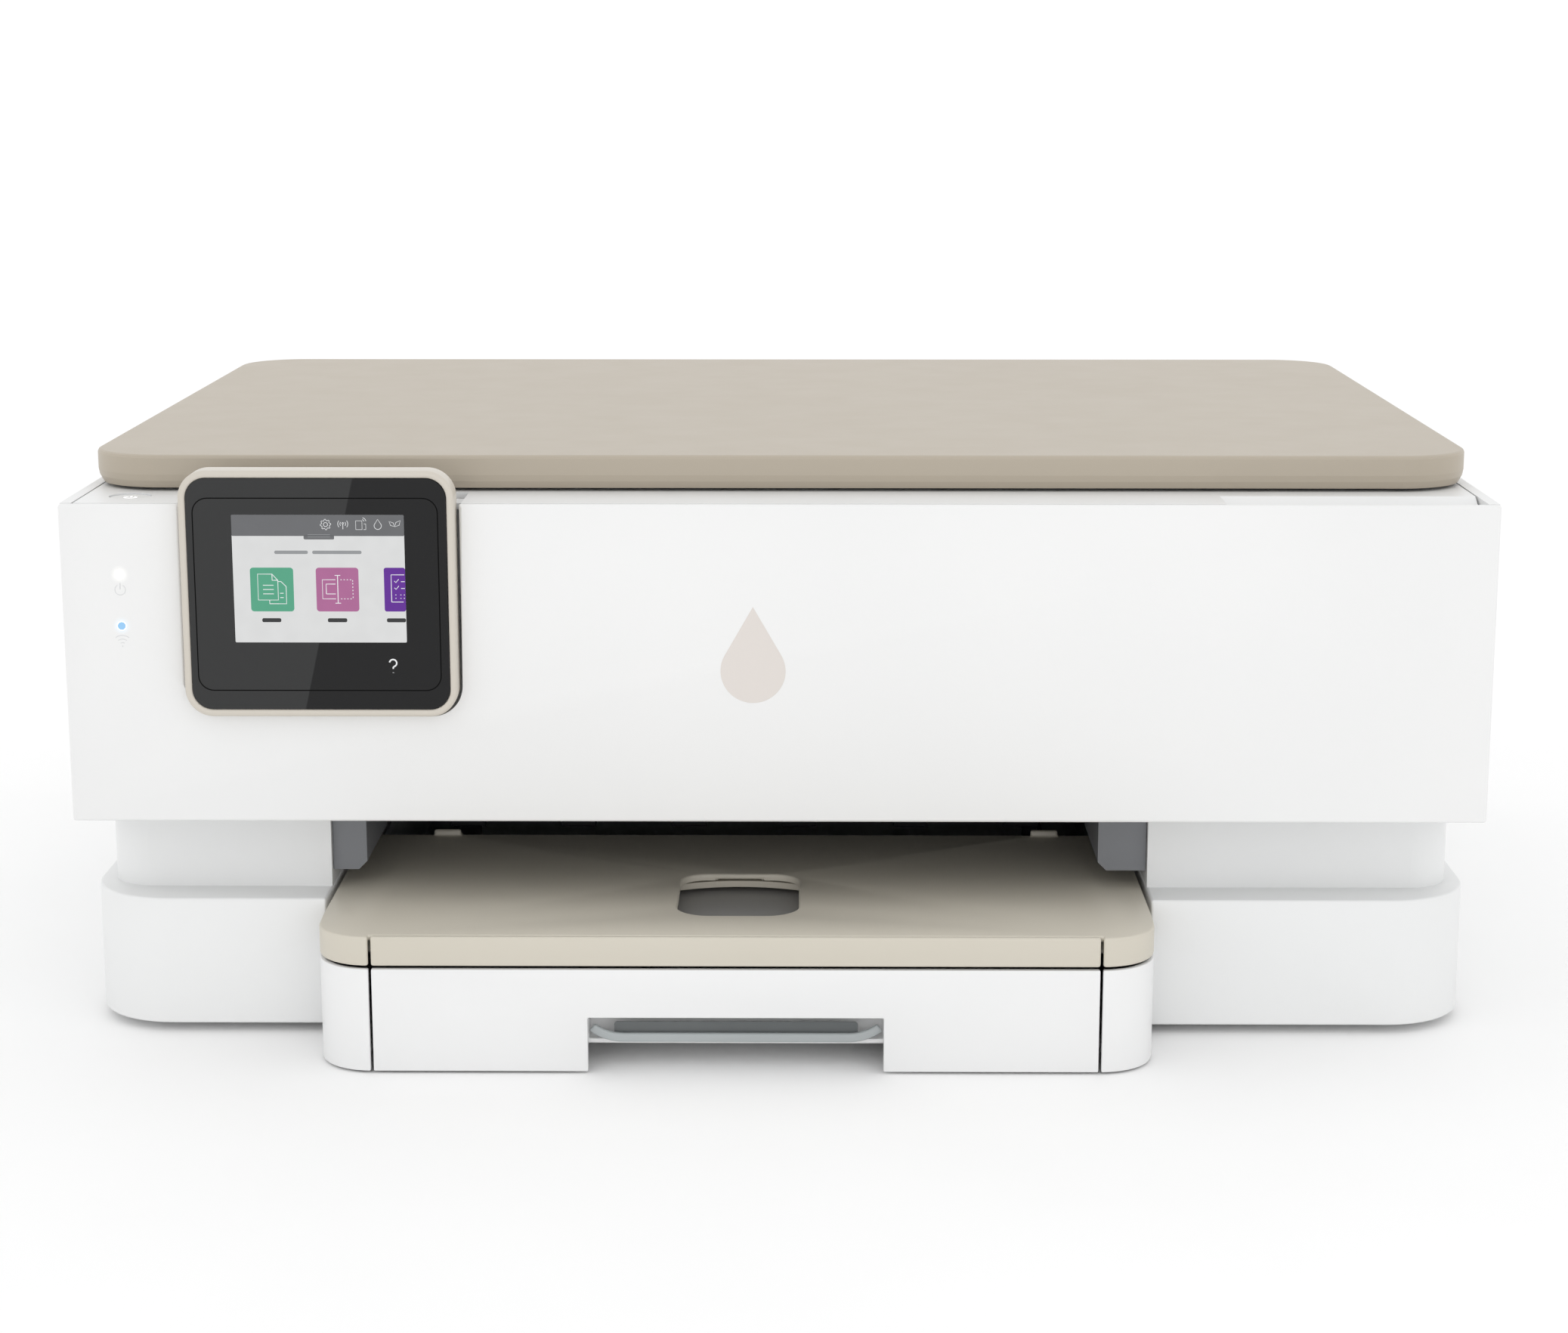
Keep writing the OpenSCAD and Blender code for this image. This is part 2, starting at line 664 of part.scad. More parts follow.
module tray_front() {
    half = slit_half - 0.9;
    pull = 47.2;
    color("whitesmoke") difference() {
        union() {
            block([path_x - half, path_x + half], [y_tray, y_tray + 2.5], [0.6, tray_top_z]);
            block([path_x - 112, path_x + 112], [y_tray + 2, -62], [8.3, 9.8]);
            for (s = [-1, 1]) block([path_x + s * (pull + 1.1) - 1.1, path_x + s * (pull + 1.1) + 1.1],
                [y_tray + 2, y_tray + 14], [8.3, 20.7]);
            block([path_x - pull - 2, path_x + pull + 2], [y_tray + 2, y_tray + 14], [18.5, 20.7]);
            block([path_x - pull - 2, path_x + pull + 2], [y_tray + 12, y_tray + 14], [8.3, 20.7]);
        }
        block([path_x - pull, path_x + pull], [y_tray - 1, y_tray + 6], [0, 18.5]);
    }
}

module output_plate() {
    x = [path_x - tray_half, path_x + tray_half];
    back = -66.2;
    hole = 20;
    color("tan") difference() {
        union() {
            slab(x, [y_tray, back], [plate_z - 2.2, plate_z], 18, 2);
            difference() {
                slab(x, [y_tray, back], [tray_top_z + 1, plate_z - 1], 18, 2);
                slab([x[0] + 2, x[1] - 2], [y_tray + 2, back + 5], [0, plate_z], 16, 1);
            }
            for (s = [-1, 1]) {
                block([path_x + s * 118 - 1, path_x + s * 118 + 1], [y_tray + 8, back], [38, plate_z - 1]);
                block([path_x + s * 116 - 3, path_x + s * 116 + 3], [y_tray + 8, back], [38, 39.8]);
                for (y = [-160, -90]) block([path_x + s * 133 - 1.5, path_x + s * 133 + 1.5], [y, y + 6],
                    [tray_top_z, plate_z - 1]);
            }
            for (tab = [-124.1, 88.9]) block([tab, tab + 9.6], [back - 2, back], [plate_z - 1, plate_z + 2.3]);
        }
        block([path_x - slit_half, path_x + slit_half], [y_tray - 1, y_tray + 2.8], [0, 60]);
        slab([path_x - hole, path_x + hole], [-166.5, -117.6], [plate_z - 3, plate_z + 1], 11, 9);
        block([path_x - 8, path_x + 7.5], [-120, -112], [plate_z - 3, plate_z - 1.85]);
    }
}

module slide_floor() {
    color("gray") block([path_x - 119, path_x + 119], [y_tray + 12, -84], [36.6, 38]);
}

module output_extender() {
    half = slit_half - 0.9;
    hole_arc = 48;
    color("tan") difference() {
        union() {
            block([path_x - 114, path_x + 114], [y_tray + 1, -78], [40.3, 42.4]);
            block([path_x - half, path_x + half], [y_tray, y_tray + 2.4], [tray_top_z + 1, plate_z]);
        }
        intersection() {
            slab([path_x - 20.5, path_x + 20.5], [-171, -105], [35, 43], 10, 5);
            translate([path_x, -116 - hole_arc, 34]) cylinder(h = 10, r = hole_arc);
        }
    }
}

// one rack tooth every rack_step along X, set half a step off the pinion's centre line
module width_guide(side) {
    reach = 109.5;
    along = side > 0 ? 180 : 0;
    color("gray") translate([path_x, guide_y, 0]) rotate(along) {
        difference() {
            block([-reach - 2, -reach], [-58, 58], [8.4, 31]);
            // arch over the other guide's rack
            block([-reach - 3, -reach + 1], [-12.5, -4.6], [8, 10.6]);
        }
        block([-reach, -96], [-4, 30], [8.4, 9.6]);
        block([-reach, 4], [7.2, 11], [8.4, 10.2]);
        for (i = [-20:0]) translate([i * rack_step + rack_step / 2, 7.4, 8.4]) linear_extrude(1.8)
            polygon([[-0.8, 0], [-0.38, -2.1], [0.38, -2.1], [0.8, 0]]);
    }
}

module width_guide_left() {
    width_guide(-1);
}

module width_guide_right() {
    width_guide(1);
}

module guide_pinion() {
    color("gray") translate([path_x, guide_y, 8.4]) linear_extrude(1.8) difference() {
        gear_2d(12, 0);
        circle(r = 2 + fit);
    }
}

module length_guide() {
    color("gray") {
        block([path_x - 28, path_x + 28], [y_tray + 17, y_tray + 20], [10.1, 30]);
        block([path_x - 20, path_x + 20], [y_tray + 17, y_tray + 40], [10.1, 12]);
        block([path_x - 12, path_x + 12], [y_tray + 14.5, y_tray + 17.5], [25, 30]);
    }
}

// ---- carriage ----
module carriage() {
    x = [car_l, car_l + car_w];
    color("dimgray") difference() {
        union() {
            block(x, [-44, 8], [64, 126]);
            block(x, [7, 33], [64, 111]);
            block([155, 175], [22, 35], [110, 117.5]);
        }
        for (bay = [x[0] + 1.6, x[0] + 33.8]) block([bay, bay + 30.6], [-41.6, 7], [66, 113]);
        block([x[0] + 1.6, x[1] - 1.6], [-45, 12], [111, 130]);
        block([x[0] + 1.6, x[1] - 1.6], [-45, -41], [86, 130]);
        for (bay = [x[0] + 7, x[0] + 39.2]) block([bay, bay + 20], [-40, -18], [60, 67]);
        bar_x([x[0] - 1, x[1] + 1], rod_axis, rod_r + fit);
        bar_x([x[0] - 1, x[1] + 1], [4, 117], 2 + fit);
        block([154, 176], [26.6, 36], [pulley_z - belt_in - belt_t - 0.4, pulley_z - belt_in + 0.4]);
    }
}

module cartridge(x, tint) {
    color(tint) {
        block([x, x + 28.4], [-40, 5], [66.4, 106]);
        block([x + 6, x + 22.4], [-38, -20], [62.6, 67]);
        block([x + 8, x + 20.4], [-36, -10], [105, 109.5]);
        block([x + 4, x + 24.4], [-41.2, -39], [90, 104]);
    }
}

module black_cartridge() {
    cartridge(car_l + 2.7, "black");
}

module color_cartridge() {
    cartridge(car_l + 34.9, "royalblue");
}

module cartridge_latch() {
    color("gray") {
        block([car_l + 2.2, car_l + car_w - 2.2], [-39, 2], [112, 114.5]);
        bar_x([car_l + 0.2, car_l + car_w - 0.2], [4, 117], 2);
        block([car_l + 2.2, car_l + car_w - 2.2], [1, 5.5], [112, 118]);
        for (x = [car_l + 12, car_l + 44]) block([x, x + 10], [-43, -38], [112, 116.5]);
    }
}

module pulley(x) {
    color("gray") difference() {
        union() {
            bar_y([26.6, 32.6], [x, pulley_z], belt_in - 0.3);
            bar_y([25.6, 26.6], [x, pulley_z], belt_in + 1.4);
            bar_y([32.6, 33.6], [x, pulley_z], belt_in + 1.4);
        }
        bar_y([25, 34], [x, pulley_z], 1.5 + fit);
        for (a = [0, 120, 240]) bar_y([25, 34], [x + 4 * cos(a), pulley_z + 4 * sin(a)], 0.8);
    }
}

module motor_pulley() {
    pulley(pulley_r);
}

module idler_pulley() {
    pulley(pulley_l);
}

// ---- rollers and gears ----
module feed_roller() {
    color("dimgray") {
        bar_x([gear_x - 3, bay_r + wall + 3], feed_axis, 3.5);
        bar_x([-130, 103], feed_axis, feed_r);
        gear_x_axis(feed_axis, feed_teeth, 0, 3);
    }
}

module exit_roller() {
    color("dimgray") {
        bar_x([gear_x - 3, bay_r + wall + 3], exit_axis, 3);
        for (i = [0:5]) bar_x([path_x - 106 + i * 40, path_x - 94 + i * 40], exit_axis, 8);
        gear_x_axis(exit_axis, 34, 0, 2.5);
    }
}

module idler_gear() {
    color("ivory") gear_x_axis(idler_axis, 30, 6, 3 + fit);
}

module motor_pinion() {
    color("gold") gear_x_axis(pinion_axis, 12, pinion_turn + 165, 1.5 + fit);
}

module star_wheels() {
    color("silver") {
        bar_x([bay_l - wall - 1, bay_r + wall + 1], star_axis, 1.5);
        for (i = [0:10]) translate([path_x - 100 + i * 20, star_axis[0], star_axis[1]]) rotate([90, 0, 90])
            linear_extrude(1) union() {
                circle(r = 4.4);
                for (a = [0:22.5:359]) rotate(a) polygon([[4, -0.7], [5.3, 0], [4, 0.7]]);
            }
    }
}

module pickup_roller() {
    color("dimgray") {
        bar_x([bay_l - wall - 3, bay_r + wall + 3], pickup_axis, 3);
        bar_x([path_x - 27, path_x + 27], pickup_axis, 12.5);
    }
}

lower_base();
mid_housing();
left_side_cover();
right_side_cover();
rear_cover();
scanner_deck();
scanner_tub();
scanner_glass();
scan_rod();
panel_bracket();
hinge_pins();
engine_deck();
output_guides();
platen();
rear_paper_guide();
carriage_rail();
carriage_rod();
carriage_motor();
feed_motor();
drive_belt();
service_station();
main_board();
power_supply();
power_inlet();
usb_port();
rubber_feet();
case_screws();
front_door();
indicator_lenses();
panel_frame();
touch_glass();
display_module();
panel_back();
lid_shell();
lid_inner();
lid_pad();
scan_head();
power_button();
rear_access_door();
paper_tray();
output_plate();
slide_floor();
tray_front();
output_extender();
width_guide_left();
width_guide_right();
guide_pinion();
length_guide();
carriage();
color_cartridge();
black_cartridge();
cartridge_latch();
motor_pulley();
idler_pulley();
feed_roller();
exit_roller();
idler_gear();
motor_pinion();
star_wheels();
pickup_roller();
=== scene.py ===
import math

import bpy
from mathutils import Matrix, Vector


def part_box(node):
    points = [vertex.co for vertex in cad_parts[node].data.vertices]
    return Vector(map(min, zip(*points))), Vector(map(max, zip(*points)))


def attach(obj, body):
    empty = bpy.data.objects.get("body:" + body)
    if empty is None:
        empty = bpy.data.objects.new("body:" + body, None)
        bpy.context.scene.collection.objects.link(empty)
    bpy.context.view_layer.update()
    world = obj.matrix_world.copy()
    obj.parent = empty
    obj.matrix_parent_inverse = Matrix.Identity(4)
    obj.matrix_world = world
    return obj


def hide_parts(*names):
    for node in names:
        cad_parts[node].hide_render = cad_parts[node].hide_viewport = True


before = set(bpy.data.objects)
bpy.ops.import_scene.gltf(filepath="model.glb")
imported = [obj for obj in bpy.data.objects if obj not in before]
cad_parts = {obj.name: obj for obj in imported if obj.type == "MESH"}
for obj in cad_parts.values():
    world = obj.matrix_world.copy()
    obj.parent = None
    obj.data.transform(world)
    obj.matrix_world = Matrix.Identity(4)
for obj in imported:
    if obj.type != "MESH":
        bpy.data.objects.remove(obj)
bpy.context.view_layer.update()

# ---- Lower base, neck, covers and rear panel ----
# Six white ABS mouldings make the outside of the casing. Their moulds are spark-eroded, so the
# faces carry a very fine satin grain, and every outside edge has a small radius. The covers clip
# on, and the rear cover is screwed to the neck. Slim fillers close the neck's rear corners.


def hold(*pieces):
    """Select these pieces and nothing else; the first one is worked on."""
    if bpy.context.object and bpy.context.object.mode != "OBJECT":
        bpy.ops.object.mode_set(mode="OBJECT")
    bpy.ops.object.select_all(action="DESELECT")
    for piece in pieces:
        piece.select_set(True)
    bpy.context.view_layer.objects.active = pieces[0]


def cloud(tree, place, scale, detail=2.0, stretch=(1, 1, 1)):
    """Soft random blotches; scale is how many of them there are in a metre."""
    turn = tree.nodes.new("ShaderNodeMapping")
    turn.inputs["Scale"].default_value = stretch
    tree.links.new(place.outputs["Object"], turn.inputs["Vector"])
    blotch = tree.nodes.new("ShaderNodeTexNoise")
    blotch.inputs["Scale"].default_value = scale
    blotch.inputs["Detail"].default_value = detail
    tree.links.new(turn.outputs["Vector"], blotch.inputs["Vector"])
    return blotch.outputs["Fac"]


def two_tone(tree, factor, first, second, low=0.35, high=0.65):
    """The colour that runs from first to second as factor goes from low to high."""
    ramp = tree.nodes.new("ShaderNodeValToRGB")
    ramp.color_ramp.elements[0].position = low
    ramp.color_ramp.elements[1].position = high
    ramp.color_ramp.elements[0].color = (*first, 1)
    ramp.color_ramp.elements[1].color = (*second, 1)
    tree.links.new(factor, ramp.inputs["Fac"])
    return ramp.outputs["Color"]


def from_to(tree, factor, low, high, start=0.3, end=0.7):
    """A value that runs from low to high as factor goes from start to end."""
    span = tree.nodes.new("ShaderNodeMapRange")
    span.inputs["From Min"].default_value = start
    span.inputs["From Max"].default_value = end
    span.inputs["To Min"].default_value = low
    span.inputs["To Max"].default_value = high
    tree.links.new(factor, span.inputs["Value"])
    return span.outputs["Result"]


def relief(tree, skin, height, depth, amount):
    bump = tree.nodes.new("ShaderNodeBump")
    bump.inputs["Strength"].default_value = amount
    bump.inputs["Distance"].default_value = depth
    tree.links.new(height, bump.inputs["Height"])
    tree.links.new(bump.outputs["Normal"], skin.inputs["Normal"])


def moulded_plastic(name, colour, dull, rough, grit=900, depth=0.00005, amount=0.25, gloss=0.5):
    """Moulded plastic: a faint drift in colour, an eroded grain and slightly uneven sheen."""
    finish = bpy.data.materials.new(name)
    finish.use_nodes = True
    tree = finish.node_tree
    skin = tree.nodes["Principled BSDF"]
    place = tree.nodes.new("ShaderNodeTexCoord")
    drift = two_tone(tree, cloud(tree, place, 9, 3), colour, dull)
    tree.links.new(drift, skin.inputs["Base Color"])
    sheen = from_to(tree, cloud(tree, place, 60, 4), rough - 0.02, rough + 0.02)
    tree.links.new(sheen, skin.inputs["Roughness"])
    relief(tree, skin, cloud(tree, place, grit, 2), depth, amount)
    skin.inputs["Specular IOR Level"].default_value = gloss
    return finish


def dress(node, finish):
    """Give a CAD node its finish in every material place it has."""
    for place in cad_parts[node].material_slots:
        place.material = finish


def rounded_copy(node, body, finish, radius, chosen=None, steps=3, least=0.004):
    """A copy of a CAD node with its sharp outside edges rounded, standing for that node."""
    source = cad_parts[node]
    piece = bpy.data.objects.new(node + "_moulding", source.data.copy())
    bpy.context.collection.objects.link(piece)
    hold(piece)
    bpy.ops.mesh.customdata_custom_splitnormals_clear()
    bpy.ops.object.mode_set(mode="EDIT")
    bpy.ops.mesh.select_all(action="SELECT")
    bpy.ops.mesh.remove_doubles(threshold=0.000002)
    bpy.ops.mesh.dissolve_limited(angle_limit=math.radians(0.5))
    bpy.ops.mesh.select_mode(type="EDGE")
    bpy.ops.mesh.select_all(action="DESELECT")
    bpy.ops.mesh.edges_select_sharp(sharpness=math.radians(50))
    bpy.ops.object.mode_set(mode="OBJECT")
    mesh = piece.data
    for edge in mesh.edges:
        a, b = (mesh.vertices[i].co for i in edge.vertices)
        keep = edge.select and (a - b).length >= least
        if keep and chosen:
            keep = chosen(a, b)
        edge.select = keep
    bpy.ops.object.mode_set(mode="EDIT")
    bpy.ops.mesh.bevel(offset=radius, segments=steps, affect="EDGES", clamp_overlap=False)
    bpy.ops.mesh.select_all(action="DESELECT")
    bpy.ops.object.mode_set(mode="OBJECT")
    low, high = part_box(node)  # the rounding stays inside the node's own box
    for vertex in mesh.vertices:
        vertex.co = [min(max(c, a), b) for c, a, b in zip(vertex.co, low, high)]
    bpy.ops.object.shade_smooth_by_angle(angle=math.radians(32))
    piece.data.materials.clear()
    piece.data.materials.append(finish)
    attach(piece, body)
    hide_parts(node)
    return piece


casing_white = moulded_plastic("casing_white", (0.8, 0.805, 0.803), (0.785, 0.792, 0.792), 0.42)
shade_white = moulded_plastic("inner_white", (0.72, 0.725, 0.725), (0.69, 0.695, 0.7), 0.5)


def lower_outside(a, b):
    return a.y < -0.14 and b.y < -0.14 or abs(a.x) > 0.2 and abs(b.x) > 0.2


rounded_copy("lower_base", "housing", casing_white, 0.0008, lower_outside)
for cover in ("mid_housing", "left_side_cover", "right_side_cover", "scanner_deck"):
    dress(cover, casing_white)
dress("rear_cover", casing_white)
dress("panel_bracket", shade_white)

neck_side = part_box("mid_housing")[1][0]
filler_size = (0.0022, 0.0212, 0.027)
filler_inset, filler_y, filler_z = 0.0013, 0.1788, 0.0603  # its middle, in from the neck's side
for side, name in ((-1, "left"), (1, "right")):
    middle = (side * (neck_side - filler_inset), filler_y, filler_z)
    bpy.ops.object.select_all(action="DESELECT")
    bpy.ops.mesh.primitive_cube_add(size=1, location=middle)
    filler = bpy.context.object
    filler.name = "neck_filler_" + name
    filler.scale = filler_size
    bpy.ops.object.transform_apply(location=True, rotation=True, scale=True)
    filler.data.materials.append(casing_white)
    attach(filler, "housing")

# ---- Case screws and rubber feet ----
# Zinc-plated self-tapping screws hold the rear cover, sunk in round wells. The feet are turned
# discs of black rubber, glued under the base, dusty at their rims.


def plated_steel(name, colour, dull, rough, along=(1, 1, 1), grit=350):
    """Plated or drawn steel: fine drawing lines along one direction under a clear gloss."""
    finish = bpy.data.materials.new(name)
    finish.use_nodes = True
    tree = finish.node_tree
    skin = tree.nodes["Principled BSDF"]
    place = tree.nodes.new("ShaderNodeTexCoord")
    lines = cloud(tree, place, grit, 3, along)
    tree.links.new(two_tone(tree, lines, colour, dull), skin.inputs["Base Color"])
    tree.links.new(from_to(tree, lines, rough - 0.06, rough + 0.08), skin.inputs["Roughness"])
    relief(tree, skin, lines, 0.00003, 0.3)
    skin.inputs["Metallic"].default_value = 1.0
    return finish


zinc = plated_steel("zinc_plate", (0.58, 0.59, 0.6), (0.47, 0.48, 0.5), 0.38, (0.06, 1, 1))
dress("case_screws", zinc)
foot_rubber = moulded_plastic(
    "foot_rubber", (0.02, 0.02, 0.02), (0.05, 0.048, 0.045),
    rough=0.75, grit=1400, depth=0.0001, amount=0.5, gloss=0.3,
)
dress("rubber_feet", foot_rubber)

# ---- Front door, its two indicator lenses and printed marks ----
# The door is a flat white moulding with two light holes near its left edge. The lenses are
# frosted stubs that shine white and blue. The halo of their light on the plastic round them is
# painted light: emission in the door's own material. A plain taupe drop is printed in the
# middle, and pale symbols are printed under the lights.
door_white = moulded_plastic("door_white", (0.815, 0.816, 0.813), (0.8, 0.802, 0.8), 0.4)
tree = door_white.node_tree
skin = tree.nodes["Principled BSDF"]
place = tree.nodes.new("ShaderNodeTexCoord")
# Painted light: white and blue halos round the two lenses, fading out within 3.5 mm, are added as
# emission to the door's plastic.
painted_glow = None
lens_low, lens_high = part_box("indicator_lenses")
lens_x = (lens_low[0] + lens_high[0]) / 2
door_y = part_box("front_door")[0][1]
white_z, blue_z = lens_high[2] - 0.0015, lens_low[2] + 0.0015
for lens_z, tint in ((white_z, (1.0, 0.97, 0.86)), (blue_z, (0.25, 0.66, 1.0))):
    reach = tree.nodes.new("ShaderNodeVectorMath")
    reach.operation = "DISTANCE"
    reach.inputs[1].default_value = (lens_x, door_y, lens_z)
    tree.links.new(place.outputs["Object"], reach.inputs[0])
    near = from_to(tree, reach.outputs["Value"], 1.0, 0.0, 0.001, 0.0035)
    soft = tree.nodes.new("ShaderNodeMath")
    soft.operation = "POWER"
    soft.inputs[1].default_value = 2.2
    tree.links.new(near, soft.inputs[0])
    light = two_tone(tree, soft.outputs["Value"], (0, 0, 0), tint, 0.0, 1.0)
    if painted_glow is None:
        painted_glow = light
    else:
        both = tree.nodes.new("ShaderNodeVectorMath")
        both.operation = "ADD"
        tree.links.new(painted_glow, both.inputs[0])
        tree.links.new(light, both.inputs[1])
        painted_glow = both.outputs["Vector"]
tree.links.new(painted_glow, skin.inputs["Emission Color"])
skin.inputs["Emission Strength"].default_value = 0.28


def door_outline(a, b):
    return min(a.y, b.y) < -0.1578 or a.z > 0.1775 and b.z > 0.1775


rounded_copy("front_door", "door", door_white, 0.0009, door_outline)


def lit(name, colour, strength, base=(0.8, 0.8, 0.8), rough=0.3):
    """A surface that gives its own light, with a slight unevenness across it."""
    finish = bpy.data.materials.new(name)
    finish.use_nodes = True
    tree = finish.node_tree
    skin = tree.nodes["Principled BSDF"]
    place = tree.nodes.new("ShaderNodeTexCoord")
    uneven = cloud(tree, place, 160, 1)
    dim = tuple(c * 0.97 for c in colour)
    tree.links.new(two_tone(tree, uneven, colour, dim), skin.inputs["Emission Color"])
    worn = tuple(c * 0.96 for c in base)
    tree.links.new(two_tone(tree, uneven, base, worn), skin.inputs["Base Color"])
    tree.links.new(from_to(tree, uneven, rough - 0.02, rough + 0.02), skin.inputs["Roughness"])
    skin.inputs["Emission Strength"].default_value = strength
    skin.inputs["Specular IOR Level"].default_value = 0.25
    return finish


white_light = lit("white_light", (1.0, 0.97, 0.86), 1.3)
blue_light = lit("blue_light", (0.34, 0.62, 0.92), 0.9, (0.03, 0.06, 0.1))
dress("indicator_lenses", white_light)


def hold_none():
    if bpy.context.object and bpy.context.object.mode != "OBJECT":
        bpy.ops.object.mode_set(mode="OBJECT")
    bpy.ops.object.select_all(action="DESELECT")


def open_faces(piece, wanted):
    """Open a piece for editing with only the wanted faces selected."""
    hold(piece)
    bpy.ops.object.mode_set(mode="EDIT")
    bpy.ops.mesh.select_mode(type="FACE")
    bpy.ops.mesh.select_all(action="DESELECT")
    bpy.ops.object.mode_set(mode="OBJECT")
    for face in piece.data.polygons:
        face.select = wanted(face.normal)
    bpy.ops.object.mode_set(mode="EDIT")


def disc(name, x, z, y, radius, thick, body, finish, rim=0.3):
    """A thin round plate that faces forwards, with its front rim rounded."""
    hold_none()
    bpy.ops.mesh.primitive_cylinder_add(
        vertices=96, radius=radius, depth=thick, location=(x, y, z), rotation=(math.pi / 2, 0, 0)
    )
    piece = bpy.context.object
    piece.name = name
    bpy.ops.object.transform_apply(location=True, rotation=True, scale=True)
    open_faces(piece, lambda normal: normal.y < -0.9)
    bpy.ops.mesh.inset(thickness=thick * rim)
    bpy.ops.transform.translate(value=(0, -thick * rim, 0))
    bpy.ops.object.mode_set(mode="OBJECT")
    bpy.ops.object.shade_smooth_by_angle(angle=math.radians(40))
    piece.data.materials.append(finish)
    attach(piece, body)
    return piece


disc("blue_indicator", lens_x, blue_z, door_y - 0.00005, 0.0013, 0.0003, "door", blue_light)


def arc(x, z, radius, start, end, count=24):
    """Points on part of a circle, from start to end degrees."""
    turn = [math.radians(start + (end - start) * i / count) for i in range(count + 1)]
    return [(x + radius * math.cos(t), z + radius * math.sin(t)) for t in turn]


def line_art(name, strokes, width, level, body, finish, lying=False):
    """Printed lines, in millimetres: each stroke is a list of points, closed where its ends meet.
    They face forwards at a depth of level, or upwards at a height of level."""
    curve = bpy.data.curves.new(name, "CURVE")
    curve.dimensions = "3D"
    curve.bevel_depth = width / 2000
    curve.bevel_resolution = 1
    for stroke in strokes:
        shut = stroke[0] == stroke[-1]
        points = stroke[:-1] if shut else stroke
        line = curve.splines.new("POLY")
        line.points.add(len(points) - 1)
        for point, (u, v) in zip(line.points, points):
            point.co = (u / 1000, v / 1000, 0, 1) if lying else (u / 1000, 0, v / 1000, 1)
        line.use_cyclic_u = shut
    curve.use_fill_caps = True
    piece = bpy.data.objects.new(name, curve)
    bpy.context.collection.objects.link(piece)
    hold(piece)
    bpy.ops.object.convert(target="MESH")
    piece = bpy.context.object
    piece.scale = (1, 1, 0.08) if lying else (1, 0.08, 1)
    piece.location = (0, 0, level) if lying else (0, level, 0)
    bpy.ops.object.transform_apply(location=True, rotation=True, scale=True)
    piece.data.materials.clear()
    piece.data.materials.append(finish)
    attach(piece, body)
    return piece


pale_ink = moulded_plastic("pale_ink", (0.7, 0.71, 0.715), (0.68, 0.69, 0.695), 0.45)
mark_x, mark_z = lens_x * 1000, white_z * 1000 - 5
power_sign = [arc(mark_x, mark_z, 1.7, 120, 420), [(mark_x, mark_z + 0.2), (mark_x, mark_z + 2.2)]]
mark_z = blue_z * 1000 - 6.5
radio_sign = [arc(mark_x, mark_z, r, 50, 130) for r in (1.0, 2.2, 3.4)]
radio_sign.append([(mark_x, mark_z - 0.4), (mark_x, mark_z + 0.1)])
signs = power_sign + radio_sign
line_art("light_symbols", signs, 0.3, door_y - 0.00001, "door", pale_ink)

# the printed drop: a round bottom with straight sides that meet in a point
badge_ink = moulded_plastic("badge_ink", (0.7, 0.655, 0.62), (0.69, 0.645, 0.61), 0.4)
badge_x, badge_z, badge_r = -8.3, 124.5, 10.5
rim = [(badge_x, badge_z + 2 * badge_r)] + arc(badge_x, badge_z, badge_r, 30, -210, 48)
outline = bpy.data.curves.new("door_drop", "CURVE")
outline.dimensions = "2D"
outline.fill_mode = "BOTH"
outline.extrude = 0.00003
edge = outline.splines.new("POLY")
edge.points.add(len(rim) - 1)
for point, (u, v) in zip(edge.points, rim):
    point.co = (u / 1000, v / 1000, 0, 1)
edge.use_cyclic_u = True
drop = bpy.data.objects.new("door_drop", outline)
bpy.context.collection.objects.link(drop)
hold(drop)
bpy.ops.object.convert(target="MESH")
drop = bpy.context.object
drop.rotation_euler = (math.pi / 2, 0, 0)
drop.location = (0, door_y - 0.00002, 0)
bpy.ops.object.transform_apply(location=True, rotation=True, scale=True)
drop.data.materials.clear()
drop.data.materials.append(badge_ink)
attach(drop, "door")

# ---- Power button ----
# A white disc on a sprung stem, a little below the shelf. Its symbol lets the light inside
# through, so it shows brighter than the plastic round it.
dress("power_button", casing_white)
button_light = lit("button_light", (1.0, 1.0, 1.0), 0.9)
button_low, button_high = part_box("power_button")
mark_x, mark_y = (500 * (button_low[i] + button_high[i]) for i in (0, 1))
button_sign = [arc(mark_x, mark_y, 1.9, 120, 420), [(mark_x, mark_y + 0.2), (mark_x, mark_y + 2.5)]]
sign_z = button_high[2] + 0.00002
line_art("button_symbol", button_sign, 0.6, sign_z, "button", button_light, lying=True)

# ---- Document lid ----
# The lid is a shallow taupe shell with a bevelled lower edge, closed underneath by a ribbed
# white tray that holds the foam pad. Its paint-like satin finish is finer than the casing's.
lid_taupe = moulded_plastic(
    "lid_taupe", (0.433, 0.381, 0.306), (0.428, 0.376, 0.302),
    rough=0.42, grit=1100, depth=0.00004, amount=0.1,
)
dress("lid_shell", lid_taupe)
dress("lid_inner", shade_white)
foam = moulded_plastic(
    "pad_foam", (0.86, 0.86, 0.85), (0.845, 0.845, 0.835),
    rough=0.85, grit=500, depth=0.0003, amount=0.5, gloss=0.2,
)
dress("lid_pad", foam)

# ---- Touch panel ----
# A pale metallic-painted frame holds a sheet of smoked glass over the display. A fine line set
# in from the glass's edge marks the lit zone. The tilting back closes the panel from behind.
frame_paint = moulded_plastic(
    "frame_paint", (0.6, 0.56, 0.495), (0.585, 0.545, 0.48),
    rough=0.33, grit=1500, depth=0.00002, amount=0.15,
)


def frame_front(a, b):
    return a.y < -0.163 and b.y < -0.163


